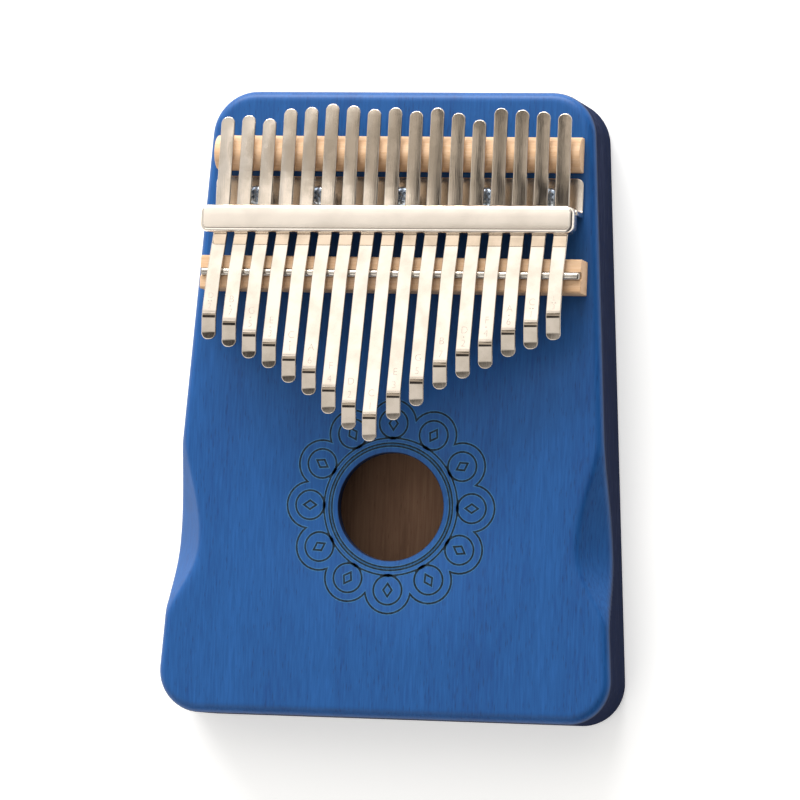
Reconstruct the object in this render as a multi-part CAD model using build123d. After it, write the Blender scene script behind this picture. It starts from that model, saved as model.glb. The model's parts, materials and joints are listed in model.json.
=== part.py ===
from build123d import *
import math
import os

# Thumb piano: a hollow wooden box with seventeen steel tines held over two bridges.
# Millimetres. The box lies on its back: Z = 0 is the back face, +Z points out of the
# soundboard, +Y points to the rear ends of the tines, X = 0 is the middle of the box.

# ---- wooden box ----
body_length = 185.0
rear_width = 115.2          # width of the end by the tines' rear ends, corners square
front_width = 138.4         # width of the other end, corners square
body_thickness = 24.5
soundboard_thickness = 3.5
back_thickness = 3.5
rim_wall = 8.0
rear_corner_radius = 13.5
front_corner_radius = 12.5
face_edge_radius = 3.0      # rounding all round the soundboard's edge
back_edge_radius = 2.5
cavity_corner_radius = 6.0

# ---- palm scoops, one in each side of the face ----
scoop_from_front = 50.0     # deepest place, from the front end
scoop_depth = 6.7           # square to the bevel, from the unrounded edge
scoop_angle = 46.0          # slope of the bevel below the soundboard
scoop_rear_reach = 42.0
scoop_front_reach = 28.0
scoop_tool_width = 60.0

# ---- holes ----
sound_hole_diameter = 31.8
sound_hole_from_front = 62.1
sound_hole_offset = 1.0     # the hole sits a little right of the middle
finger_hole_diameter = 10.0
finger_hole_spacing = 56.0
finger_hole_from_front = 100.0

# ---- bridges ----
rod_from_rear = 55.1        # steel rod's axis, from the rear end
front_bridge_depth = 10.0
front_bridge_height = 8.5
front_bridge_edge = 0.8
front_bridge_clearance = 0.25  # under the tines, where they come down behind the rod
front_bridge_margin = 3.4   # from each end of the bridge to the side of the box
rod_diameter = 2.5
rod_inset = 0.4             # rod's end, in from the bridge's end
rear_bridge_from_rear = 18.9
rear_bridge_depth = 10.3
rear_bridge_height = 6.3
rear_bridge_wall = 1.8      # straight part of its side, under the rounded top
rear_bridge_margin = 3.3

# ---- clamp: bracket, pressure bar and screws ----
bar_from_rear = 39.3        # middle of the pressure bar, from the rear end
bar_depth = 8.1
bar_height = 5.9
bar_margin = 3.7
bar_top_radius = 1.4
bar_lip_radius = 0.7
bar_end_radius = 2.2
bracket_plate_thickness = 1.2
bracket_plate_depth = 11.65
bracket_web_thickness = 1.4
bracket_corner_radius = 2.0
bracket_inset = 0.5         # bracket's end, in from the bar's end
bracket_tab_reach = 1.6     # how far the web's teeth reach up into the bar
web_groove_clearance = 0.1
screw_gaps = (2, 5, 9, 13, 16)  # each screw stands between this tine, from the left, and the next
screw_gap_offset = -1.6     # from the middle of its gap, along X
screw_row_setback = 5.85    # screw row, behind the face of the web
screw_head_diameter = 5.8
screw_head_height = 2.0
screw_shank_diameter = 3.0
screw_length = 11.0         # under the head
screw_tip_length = 2.2
screw_recess_length = 3.4
screw_recess_width = 0.8
screw_recess_depth = 1.2
screw_hole_clearance = 0.4  # on the diameter, in the steel plate
screw_bite_clearance = 0.1  # on the diameter, in the wood
block_depth = 14.0
block_height = 9.0
block_clearance = 0.5       # from each end of the block to the rim

# ---- tines ----
tine_count = 17
tine_thickness = 1.0
tine_rear_width = 4.15
tine_tip_width = 4.4
tine_tip_corner = 1.9
row_end_margin = 4.84       # from the outer tines' middles to the bracket's ends
longest_free_length = 49.8  # from the rod to the tip of the lowest tine
length_exponent = 0.596     # free length falls with this power of the pitch
clamp_height = 6.1          # underside of the tines under the bar, over the soundboard
rise_slope = 0.16           # rise of the free part towards the tip, per unit length
tip_bend_length = 7.4
tip_bend_slope = 0.19       # fall of the bent tip, per unit length
bend_radius = 7.0
rest_clearance = 0.03       # over the rear bridge and over the rod
slot_clearance = 0.2        # each side of a tine, in the bracket's web
slot_floor_clearance = 0.3
pivot_share = 0.15          # a plucked strip turns about a point this far along its free part
pivot_gap = 0.3             # between the clamped and the free part of a tine's solid
tail_lengths = (            # behind the top of the rear bridge, left to right
    10.0, 10.5, 9.5, 12.5, 13.0, 14.0, 13.5, 12.5, 13.0,
    12.0, 13.0, 11.5, 9.5, 13.0, 12.5, 12.0, 11.5,
)
scale_semitones = (0, 2, 4, 5, 7, 9, 11)
octave_semitones = 12

# ---- places worked out from the sizes above ----
rear_end = body_length / 2
front_end = -body_length / 2
face_z = body_thickness
side_taper = (front_width - rear_width) / 2 / body_length
rod_y = rear_end - rod_from_rear
rod_z = face_z + front_bridge_height
rod_top_z = rod_z + rod_diameter / 2
rear_bridge_y = rear_end - rear_bridge_from_rear
bar_y = rear_end - bar_from_rear
bar_front_y = bar_y - bar_depth / 2
bar_rear_y = bar_y + bar_depth / 2
clamp_z = face_z + clamp_height
bar_bottom_z = clamp_z + tine_thickness
bar_top_z = bar_bottom_z + bar_height
press_y = bar_front_y - bar_lip_radius
rise_angle = math.atan2(rod_top_z - clamp_z, press_y - rod_y)
rod_contact_z = rod_z + (rod_diameter / 2 + rest_clearance) / math.cos(rise_angle)
web_front_y = bar_rear_y - bracket_web_thickness - bar_lip_radius
screw_row_y = web_front_y + screw_row_setback
sound_hole_y = front_end + sound_hole_from_front
scoop_y = front_end + scoop_from_front


def half_width(y):
    """Half the width of the box at a place along its length."""
    return rear_width / 2 + side_taper * (rear_end - y)


front_bridge_length = 2 * (half_width(rod_y) - front_bridge_margin)
rear_bridge_length = 2 * (half_width(rear_bridge_y) - rear_bridge_margin)
bar_length = 2 * (half_width(bar_y) - bar_margin)
bracket_length = bar_length - 2 * bracket_inset
tine_pitch = (bracket_length - 2 * row_end_margin) / (tine_count - 1)


def box_at(x_size, y_low, y_high, z_low, z_high, x=0.0):
    """A box centred on x, between two places along Y and two heights."""
    middle = Pos(x, (y_low + y_high) / 2, (z_low + z_high) / 2)
    return middle * Box(x_size, y_high - y_low, z_high - z_low)


def body_outline():
    """The plan of the box: a tapered block with rounded corners."""
    corners = [
        (-rear_width / 2, rear_end),
        (rear_width / 2, rear_end),
        (front_width / 2, front_end),
        (-front_width / 2, front_end),
    ]
    face = make_face(Polyline(*corners, close=True))
    rear_corners = face.vertices().filter_by(lambda v: v.Y > 0)
    face = fillet(rear_corners, rear_corner_radius)
    front_corners = [v for v in face.vertices() if v.Y < front_end + side_taper]
    return fillet(front_corners, front_corner_radius)


def scoop_cutter(side):
    """The tool that bevels one side of the face; side is +1 right, -1 left."""
    rise = math.radians(scoop_angle)
    along = Vector(side * side_taper, -1, 0).normalized()
    outward = Vector(side, side_taper, 0).normalized()
    ruling = outward * math.cos(rise) - Vector(0, 0, 1) * math.sin(rise)
    edge = Vector(side * half_width(scoop_y), scoop_y, face_z)
    plane = Plane(origin=edge, x_dir=along, z_dir=ruling)
    inward = -1 if plane.y_dir.Z > 0 else 1
    bed = Spline(
        (-scoop_rear_reach, 0),
        (-scoop_rear_reach / 2, inward * scoop_depth / 2),
        (0, inward * scoop_depth),
        (scoop_front_reach / 2, inward * scoop_depth / 2),
        (scoop_front_reach, 0),
        tangents=[(1, 0), (1, 0)],
    )
    lid = Polyline(
        (scoop_front_reach, 0),
        (scoop_front_reach, -inward * scoop_depth),
        (-scoop_rear_reach, -inward * scoop_depth),
        (-scoop_rear_reach, 0),
    )
    profile = plane * make_face([bed, lid])
    return extrude(profile, scoop_tool_width / 2, dir=ruling, both=True)


def shaped_block():
    """The outside of the whole box: rounded edges and two palm scoops."""
    block = extrude(body_outline(), body_thickness)
    block = fillet(block.faces().sort_by(Axis.Z)[-1].edges(), face_edge_radius)
    block = fillet(block.faces().sort_by(Axis.Z)[0].edges(), back_edge_radius)
    return block - scoop_cutter(1) - scoop_cutter(-1)


def slab(z_low, z_high):
    """A slab wider than the box, between two heights."""
    return box_at(2 * front_width, 2 * front_end, 2 * rear_end, z_low, z_high)


def tine_x(index):
    """Middle of a tine along X, from 0 on the left."""
    return (index - (tine_count - 1) / 2) * tine_pitch


def screw_places():
    """Middles of the screws along X, each between two tines."""
    return [tine_x(gap - 0.5) + screw_gap_offset for gap in screw_gaps]


def screw_holes(diameter, z_low, z_high):
    """Five round holes under the screws, between two heights."""
    cutters = []
    for x in screw_places():
        place = Pos(x, screw_row_y, (z_low + z_high) / 2)
        cutters.append(place * Cylinder(diameter / 2, z_high - z_low))
    return cutters


def soundboard(block):
    """The face of the box, with the sound hole and the screws' pilot holes."""
    board = block & slab(face_z - soundboard_thickness, 2 * face_z)
    place = Pos(sound_hole_offset, sound_hole_y, face_z)
    board -= place * Cylinder(sound_hole_diameter / 2, 4 * soundboard_thickness)
    pilot = screw_shank_diameter + screw_bite_clearance
    for cutter in screw_holes(pilot, face_z - 2 * soundboard_thickness, 2 * face_z):
        board -= cutter
    return board


def side_rim(block):
    """The wall round the sound chamber."""
    ring = block & slab(back_thickness, face_z - soundboard_thickness)
    inside = offset(body_outline(), -rim_wall)
    return ring - extrude(inside, 2 * body_thickness)


def back_panel(block):
    """The back of the box, with two finger holes that bend the note."""
    panel = block & slab(-back_thickness, back_thickness)
    for side in (-1, 1):
        place = Pos(side * finger_hole_spacing / 2, front_end + finger_hole_from_front, 0)
        panel -= place * Cylinder(finger_hole_diameter / 2, 4 * back_thickness)
    return panel


def screw_block():
    """The block glued under the soundboard, from rim to rim, that the clamp's screws bite into."""
    top_z = face_z - soundboard_thickness
    low_y = screw_row_y - block_depth / 2
    block = box_at(rear_width, low_y, low_y + block_depth, top_z - block_height, top_z)
    block &= extrude(offset(body_outline(), -rim_wall - block_clearance), body_thickness)
    pilot = screw_shank_diameter + screw_bite_clearance
    for cutter in screw_holes(pilot, top_z - 2 * block_height, 2 * face_z):
        block -= cutter
    return block


def across(profile, length):
    """A (y, z) profile drawn on the YZ plane, drawn out along X about the middle."""
    return extrude(Plane.YZ * profile, length / 2, both=True)


def front_bridge():
    """The flat bridge under the free part of the tines, grooved for its rod."""
    low_y = rod_y - front_bridge_depth / 2
    high_y = rod_y + front_bridge_depth / 2
    bar = box_at(front_bridge_length, low_y, high_y, face_z, rod_z)
    upper = bar.faces().sort_by(Axis.Z)[-1].edges()
    bar = fillet(upper, front_bridge_edge)
    drop = front_bridge_clearance / math.cos(rise_angle)
    above = make_face(Polyline(
        (rod_y, rod_contact_z - drop),
        (press_y, clamp_z - drop),
        (press_y, 2 * rod_z),
        (rod_y, 2 * rod_z),
        close=True,
    ))
    return bar - rod_cutter() - across(above, front_bridge_length)


def rod_cutter():
    """The space that the rod lies in, right along the bridge."""
    return Pos(0, rod_y, rod_z) * Rot(0, 90, 0) * Cylinder(rod_diameter / 2, 2 * front_bridge_length)


def front_rod():
    """The steel rod let half into the front bridge, with rounded ends."""
    length = front_bridge_length - 2 * rod_inset
    rod = Pos(0, rod_y, rod_z) * Rot(0, 90, 0) * Cylinder(rod_diameter / 2, length)
    return chamfer(rod.edges().filter_by(GeomType.CIRCLE), rod_diameter / 8)


def rear_bridge():
    """The round-topped bridge under the rear part of the tines."""
    half = rear_bridge_depth / 2
    top = face_z + rear_bridge_height
    wall = face_z + rear_bridge_wall
    outline = [
        Line((rear_bridge_y - half, wall), (rear_bridge_y - half, face_z)),
        Line((rear_bridge_y - half, face_z), (rear_bridge_y + half, face_z)),
        Line((rear_bridge_y + half, face_z), (rear_bridge_y + half, wall)),
        ThreePointArc((rear_bridge_y + half, wall), (rear_bridge_y, top), (rear_bridge_y - half, wall)),
    ]
    return across(make_face(outline), rear_bridge_length)


def bracket():
    """Screwed base plate with an upturned web, slotted for the tines."""
    web_rear_y = web_front_y + bracket_web_thickness
    plate_rear_y = web_front_y + bracket_plate_depth
    plate_top_z = face_z + bracket_plate_thickness
    plate = box_at(bracket_length, web_front_y, plate_rear_y, face_z, plate_top_z)
    corners = plate.edges().filter_by(Axis.Z).group_by(Axis.Y)[-1]
    plate = fillet(corners, bracket_corner_radius)
    web_top_z = bar_bottom_z + bracket_tab_reach
    web = box_at(bracket_length, web_front_y, web_rear_y, face_z, web_top_z)
    body = plate + web
    slot_width = tine_rear_width + 2 * slot_clearance
    slot_floor_z = clamp_z - slot_floor_clearance
    for index in range(tine_count):
        body -= box_at(
            slot_width, web_front_y - 1, web_rear_y + 1, slot_floor_z, 2 * web_top_z, tine_x(index)
        )
    plate_hole = screw_shank_diameter + screw_hole_clearance
    for cutter in screw_holes(plate_hole, face_z - 1, plate_top_z + 1):
        body -= cutter
    return body


def pressure_bar():
    """The polished bar that holds the tines down between the bridges."""
    bar = box_at(bar_length, bar_front_y, bar_rear_y, bar_bottom_z, bar_top_z)
    ends = bar.edges().filter_by(Axis.Z)
    bar = fillet(ends, bar_end_radius)
    bar = fillet(bar.faces().sort_by(Axis.Z)[-1].edges(), bar_top_radius)
    bar = fillet(bar.faces().sort_by(Axis.Z)[0].edges(), bar_lip_radius)
    groove = box_at(
        bracket_length + 2 * web_groove_clearance,
        web_front_y - web_groove_clearance,
        web_front_y + bracket_web_thickness + web_groove_clearance,
        bar_bottom_z - 1,
        bar_bottom_z + bracket_tab_reach + web_groove_clearance,
    )
    return bar - groove


def bracket_screws():
    """Five pan-head wood screws with cross recesses."""
    head_z = face_z + bracket_plate_thickness
    core = screw_length - screw_tip_length
    screws = []
    for x in screw_places():
        head = Pos(x, screw_row_y, head_z + screw_head_height / 2)
        head *= Cylinder(screw_head_diameter / 2, screw_head_height)
        head = fillet(head.edges().sort_by(Axis.Z)[-1], screw_head_height * 0.7)
        shank = Pos(x, screw_row_y, head_z - core / 2) * Cylinder(screw_shank_diameter / 2, core)
        tip = Pos(x, screw_row_y, head_z - core - screw_tip_length / 2)
        tip *= Rot(180, 0, 0) * Cone(screw_shank_diameter / 2, screw_shank_diameter / 8, screw_tip_length)
        screw = head + shank + tip
        for turn in (0, 90):
            recess = Pos(x, screw_row_y, head_z + screw_head_height) * Rot(0, 0, 45 + turn)
            screw -= recess * Box(screw_recess_length, screw_recess_width, 2 * screw_recess_depth)
        screws.append(screw)
    return Compound(children=[part.solid() for part in screws])


def scale_step(index):
    """A tine's place in the scale: 0 in the middle, then left and right by turns."""
    from_middle = index - (tine_count - 1) // 2
    return 2 * from_middle if from_middle > 0 else -2 * from_middle - 1 if from_middle < 0 else 0


def free_length(index):
    """Length of a tine from the rod to its tip, shorter for a higher note."""
    octaves, degree = divmod(scale_step(index), len(scale_semitones))
    semitones = octave_semitones * octaves + scale_semitones[degree]
    return longest_free_length * 2 ** (-length_exponent * semitones / octave_semitones)


def tine_solid(index):
    """One tine as a whole strip: bent over both bridges and down at its tip."""
    crest_z = face_z + rear_bridge_height + rest_clearance
    rear_slope = (crest_z - clamp_z) / (rear_bridge_y - bar_rear_y)
    tail_y = rear_bridge_y + tail_lengths[index]
    tip_y = rod_y - free_length(index)
    crease_y = tip_y + tip_bend_length
    crease_z = rod_contact_z + rise_slope * (rod_y - crease_y)
    path = [
        (tail_y, crest_z + rear_slope * tail_lengths[index]),
        (bar_rear_y, clamp_z),
        (press_y, clamp_z),
        (rod_y, rod_contact_z),
        (crease_y, crease_z),
        (tip_y, crease_z - tip_bend_slope * tip_bend_length),
    ]
    lower = FilletPolyline(*path, radius=bend_radius)
    upper = Pos(0, tine_thickness) * lower
    ends = [Line(lower @ 0, upper @ 0), Line(lower @ 1, upper @ 1)]
    strip = across(make_face([lower, upper, *ends]), 2 * tine_tip_width)
    rear_half = tine_rear_width / 2
    tip_half = tine_tip_width / 2
    plan = make_face(Polyline(
        (-rear_half, tail_y), (rear_half, tail_y), (tip_half, tip_y), (-tip_half, tip_y), close=True
    ))
    rear_corners = plan.vertices().sort_by(Axis.Y)[-2:]
    plan = fillet(rear_corners, rear_half * 0.96)
    tip_corners = plan.vertices().sort_by(Axis.Y)[:2]
    plan = fillet(tip_corners, tine_tip_corner)
    return Pos(tine_x(index), 0, 0) * (strip & extrude(plan, 4 * face_z))


def tine_pieces(index):
    """The clamped shank and the free reed of one tine."""
    whole = tine_solid(index)
    pivot_y = rod_y - pivot_share * free_length(index)
    reach = 2 * body_length
    front = box_at(reach, pivot_y - reach, pivot_y - pivot_gap / 2, 0, reach)
    rear = box_at(reach, pivot_y + pivot_gap / 2, pivot_y + reach, 0, reach)
    return whole & rear, whole & front


def write(name, shape):
    """Save one named piece."""
    shape.label = name
    export_step(shape, "parts/" + name + ".step")


os.makedirs("parts", exist_ok=True)
outer = shaped_block()
write("soundboard", soundboard(outer))
write("side_rim", side_rim(outer))
write("back_panel", back_panel(outer))
write("screw_block", screw_block())
write("rear_bridge", rear_bridge())
write("front_bridge", front_bridge())
write("front_rod", front_rod())
write("bracket", bracket())
write("pressure_bar", pressure_bar())
write("bracket_screws", bracket_screws())
for number in range(tine_count):
    shank, reed = tine_pieces(number)
    write(f"tine_{number + 1:02d}_shank", shank)
    write(f"tine_{number + 1:02d}_reed", reed)
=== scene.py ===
"""Looks of a seventeen-tine thumb piano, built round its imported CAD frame.

Every piece takes its place from the boxes and joints of the frame. Sizes are written in
millimetres and turned to metres with MM. The box lies on its back: +Z comes out of the
soundboard, +Y points to the rear ends of the tines and +X to the right.
"""

import json
import logging
import math
from collections.abc import Callable, Iterable, Sequence
from dataclasses import dataclass
from enum import Enum

import bmesh
import bpy
from mathutils import Matrix, Vector
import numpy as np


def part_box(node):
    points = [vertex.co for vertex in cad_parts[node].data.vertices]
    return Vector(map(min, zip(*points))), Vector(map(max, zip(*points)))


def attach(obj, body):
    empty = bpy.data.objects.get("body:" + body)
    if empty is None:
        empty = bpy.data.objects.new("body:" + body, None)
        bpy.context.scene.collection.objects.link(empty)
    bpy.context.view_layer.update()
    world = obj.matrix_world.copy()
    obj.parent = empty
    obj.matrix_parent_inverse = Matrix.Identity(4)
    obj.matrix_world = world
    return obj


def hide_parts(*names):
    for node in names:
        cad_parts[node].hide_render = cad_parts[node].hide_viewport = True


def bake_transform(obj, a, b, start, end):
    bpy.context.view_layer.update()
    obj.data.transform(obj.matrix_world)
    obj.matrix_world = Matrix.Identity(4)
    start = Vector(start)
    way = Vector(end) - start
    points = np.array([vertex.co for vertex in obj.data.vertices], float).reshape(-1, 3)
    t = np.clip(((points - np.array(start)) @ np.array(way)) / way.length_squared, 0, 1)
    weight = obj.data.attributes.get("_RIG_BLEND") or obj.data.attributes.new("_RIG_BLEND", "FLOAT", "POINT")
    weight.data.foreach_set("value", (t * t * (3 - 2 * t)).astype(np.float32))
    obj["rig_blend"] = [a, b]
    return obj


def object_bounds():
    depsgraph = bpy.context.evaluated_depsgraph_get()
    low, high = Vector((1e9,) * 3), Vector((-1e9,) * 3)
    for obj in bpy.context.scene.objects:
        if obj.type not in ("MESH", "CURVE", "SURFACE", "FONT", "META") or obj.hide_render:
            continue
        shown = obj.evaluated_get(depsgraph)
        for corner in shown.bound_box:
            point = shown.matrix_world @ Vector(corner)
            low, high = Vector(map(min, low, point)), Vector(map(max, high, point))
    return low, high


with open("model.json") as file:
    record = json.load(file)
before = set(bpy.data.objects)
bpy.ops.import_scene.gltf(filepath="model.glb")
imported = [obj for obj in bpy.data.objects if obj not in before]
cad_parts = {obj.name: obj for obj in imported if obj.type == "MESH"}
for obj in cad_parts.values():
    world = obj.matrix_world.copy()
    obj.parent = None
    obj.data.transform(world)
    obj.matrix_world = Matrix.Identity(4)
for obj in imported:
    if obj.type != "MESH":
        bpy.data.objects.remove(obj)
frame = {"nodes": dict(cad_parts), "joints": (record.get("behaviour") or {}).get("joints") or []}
cad_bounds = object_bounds()

MM = 0.001
LOG = logging.getLogger("thumb_piano")


# ---------------------------------------------------------------- shared tools


def linear(hex_colour: str) -> tuple[float, float, float, float]:
    """Turn an sRGB hex value into a linear colour.

    Args:
        hex_colour: Six hex digits with a leading hash.

    Returns:
        Linear red, green and blue, with an alpha of 1.
    """
    parts = [int(hex_colour[place:place + 2], 16) / 255 for place in (1, 3, 5)]
    red, green, blue = (
        part / 12.92 if part <= 0.04045 else ((part + 0.055) / 1.055) ** 2.4 for part in parts
    )
    return red, green, blue, 1.0


def smooth_step(low: float, high: float, value: float) -> float:
    """Rise smoothly from 0 at low to 1 at high."""
    share = min(1.0, max(0.0, (value - low) / (high - low)))
    return share * share * (3 - 2 * share)


def arc_points(
    centre: tuple[float, float], radius: float, start: float, end: float, steps: int
) -> list[Vector]:
    """Points along a plane arc.

    Args:
        centre: Middle of the arc.
        radius: Radius of the arc.
        start: First angle, in degrees.
        end: Last angle, in degrees.
        steps: Number of equal steps between them.

    Returns:
        One point more than there are steps.
    """
    turns = [math.radians(start + (end - start) * step / steps) for step in range(steps + 1)]
    return [
        Vector((centre[0] + radius * math.cos(turn), centre[1] + radius * math.sin(turn)))
        for turn in turns
    ]


def add_node(
    tree: bpy.types.NodeTree,
    kind: str,
    inputs: dict[str | int, object] | None = None,
    stops: Sequence[tuple[float, str]] = (),
    **settings: object,
) -> bpy.types.Node:
    """Add a node with its settings, values and links.

    Args:
        tree: Node tree that the node goes into.
        kind: Type name of the node.
        inputs: Values or output sockets for the node's inputs, by name or number.
        stops: Places and hex colours of a colour ramp.
        settings: Properties of the node itself.

    Returns:
        The new node.
    """
    node = tree.nodes.new(kind)
    for name, value in settings.items():
        setattr(node, name, value)
    for name, value in (inputs or {}).items():
        if isinstance(value, bpy.types.NodeSocket):
            tree.links.new(value, node.inputs[name])
        else:
            node.inputs[name].default_value = value
    if stops:
        ramp = node.color_ramp.elements
        while len(ramp) < len(stops):
            ramp.new(1.0)
        for element, (place, colour) in zip(ramp, stops):
            element.position = place
            element.color = linear(colour)
    return node


def loft(
    bm: bmesh.types.BMesh, rings: Sequence[Sequence[Vector]], closed: bool = True
) -> tuple[list[bmesh.types.BMEdge], list[bmesh.types.BMEdge]]:
    """Draw a first line of points and extrude it along others with as many points.

    Args:
        bm: Mesh to draw in.
        rings: Lines of points, in order.
        closed: Whether each line is a closed ring.

    Returns:
        The edges of the first line and of the last.
    """
    station = bm.verts.layers.int.get("station") or bm.verts.layers.int.new("station")
    line = []
    for number, point in enumerate(rings[0]):
        vert = bm.verts.new(point)
        vert[station] = number
        line.append(vert)
    pairs = list(zip(line, line[1:]))
    if closed and len(line) > 2:
        pairs.append((line[-1], line[0]))
    first = [bm.edges.new(pair) for pair in pairs]
    last = first
    for points in rings[1:]:
        made = bmesh.ops.extrude_edge_only(bm, edges=last)["geom"]
        verts = {item for item in made if isinstance(item, bmesh.types.BMVert)}
        for vert in verts:
            vert.co = points[vert[station]]
        last = [
            item for item in made
            if isinstance(item, bmesh.types.BMEdge) and all(end in verts for end in item.verts)
        ]
    return first, last


def cap(bm: bmesh.types.BMesh, *loops: Iterable[bmesh.types.BMEdge]) -> None:
    """Close a flat opening that one or more loops of edges bound."""
    edges = [edge for loop in loops for edge in loop]
    bmesh.ops.triangle_fill(bm, edges=edges, use_beauty=True, use_dissolve=False)


def open_edges_at(bm: bmesh.types.BMesh, height: float) -> list[bmesh.types.BMEdge]:
    """Boundary edges that lie at one height."""
    return [
        edge for edge in bm.edges
        if edge.is_boundary and all(abs(vert.co.z - height) < 1e-6 for vert in edge.verts)
    ]


def edges_where(
    bm: bmesh.types.BMesh, test: Callable[[Vector, Vector], bool]
) -> list[bmesh.types.BMEdge]:
    """Edges whose two ends pass a test."""
    return [edge for edge in bm.edges if test(edge.verts[0].co, edge.verts[1].co)]


def bevel_edges(
    bm: bmesh.types.BMesh, edges: Sequence[bmesh.types.BMEdge], width: float, segments: int
) -> None:
    """Round some edges.

    Args:
        bm: Mesh to change.
        edges: Edges to round.
        width: Distance that the rounding reaches from each edge.
        segments: Number of faces across the rounding.
    """
    bmesh.ops.bevel(
        bm, geom=list(edges), offset=width, offset_type="OFFSET", segments=segments,
        profile=0.5, affect="EDGES", clamp_overlap=True, loop_slide=False, material=-1,
    )


def cut_across(bm: bmesh.types.BMesh, normal: Vector, places: Iterable[float]) -> None:
    """Add lines of vertices across a mesh where planes square to normal cut it."""
    for place in places:
        geometry = [*bm.verts, *bm.edges, *bm.faces]
        bmesh.ops.bisect_plane(
            bm, geom=geometry, dist=1e-7, plane_co=normal * place, plane_no=normal
        )


def carve(piece: bpy.types.Object, cutter: bpy.types.Object) -> None:
    """Cut one shape out of another and drop the cutter.

    Args:
        piece: Object that is cut; its mesh is replaced.
        cutter: Closed object that is taken away from it.
    """
    cut = piece.modifiers.new("cut", "BOOLEAN")
    cut.operation = "DIFFERENCE"
    cut.solver = "EXACT"
    cut.object = cutter
    bpy.context.view_layer.update()
    graph = bpy.context.evaluated_depsgraph_get()
    whole = piece.data
    piece.data = bpy.data.meshes.new_from_object(piece.evaluated_get(graph))
    piece.modifiers.clear()
    bpy.data.meshes.remove(whole)
    bpy.data.objects.remove(cutter)


def make_object(
    bm: bmesh.types.BMesh,
    name: str,
    materials: Sequence[bpy.types.Material] = (),
    crease_degrees: float = 32.0,
    recalculate: bool = True,
) -> bpy.types.Object:
    """Turn a bmesh into a finished, smooth-shaded object at the origin.

    Args:
        bm: Mesh, which is freed.
        name: Name of the piece.
        materials: Materials for its slots.
        crease_degrees: Edges that turn more than this stay sharp.
        recalculate: Whether faces are turned outwards.

    Returns:
        The new object.
    """
    bmesh.ops.remove_doubles(bm, verts=bm.verts, dist=1e-7)
    if recalculate:
        bmesh.ops.recalc_face_normals(bm, faces=bm.faces)
    mesh = bpy.data.meshes.new(name)
    bm.to_mesh(mesh)
    bm.free()
    mesh.polygons.foreach_set("use_smooth", [True] * len(mesh.polygons))
    mesh.set_sharp_from_angle(angle=math.radians(crease_degrees))
    for material in materials:
        mesh.materials.append(material)
    piece = bpy.data.objects.new(name, mesh)
    bpy.context.scene.collection.objects.link(piece)
    return piece


def keep_flats_flat(piece: bpy.types.Object) -> None:
    """Weight the normals by area, so that wide flats beside small roundings stay even."""
    weighted = piece.modifiers.new("flat_faces", "WEIGHTED_NORMAL")
    weighted.keep_sharp = True
    weighted.weight = 60


def seat(piece: bpy.types.Object, body: str, slot: str, *nodes: str) -> None:
    """Hang a piece on a body and let it stand for CAD nodes.

    Args:
        piece: The finished piece.
        body: Body that carries it.
        slot: Material slot of the record; not used.
        nodes: CAD nodes that it stands for, if any.
    """
    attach(piece, body)
    if nodes:
        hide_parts(*nodes)
    LOG.info("%s rides %s, %d faces", piece.name, body, len(piece.data.polygons))


# ---------------------------------------------------------------- finishes


class Grain(Enum):
    """Direction that wood fibres or polishing marks run in."""

    ALONG_X = 0
    ALONG_Y = 1


def stretched_coordinates(
    tree: bpy.types.NodeTree, grain: Grain, across_mm: float, along_mm: float
) -> bpy.types.NodeSocket:
    """Object coordinates scaled so that one unit is one cell of a pattern.

    Args:
        tree: Node tree of the material.
        grain: Direction of the cell's length.
        across_mm: Width and depth of a cell.
        along_mm: Length of a cell.

    Returns:
        The socket that carries the scaled coordinates.
    """
    scale = [1 / (across_mm * MM)] * 3
    scale[grain.value] = 1 / (along_mm * MM)
    place = add_node(tree, "ShaderNodeTexCoord")
    mapping = add_node(
        tree, "ShaderNodeMapping", {"Vector": place.outputs["Object"], "Scale": scale}
    )
    return mapping.outputs["Vector"]


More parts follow.
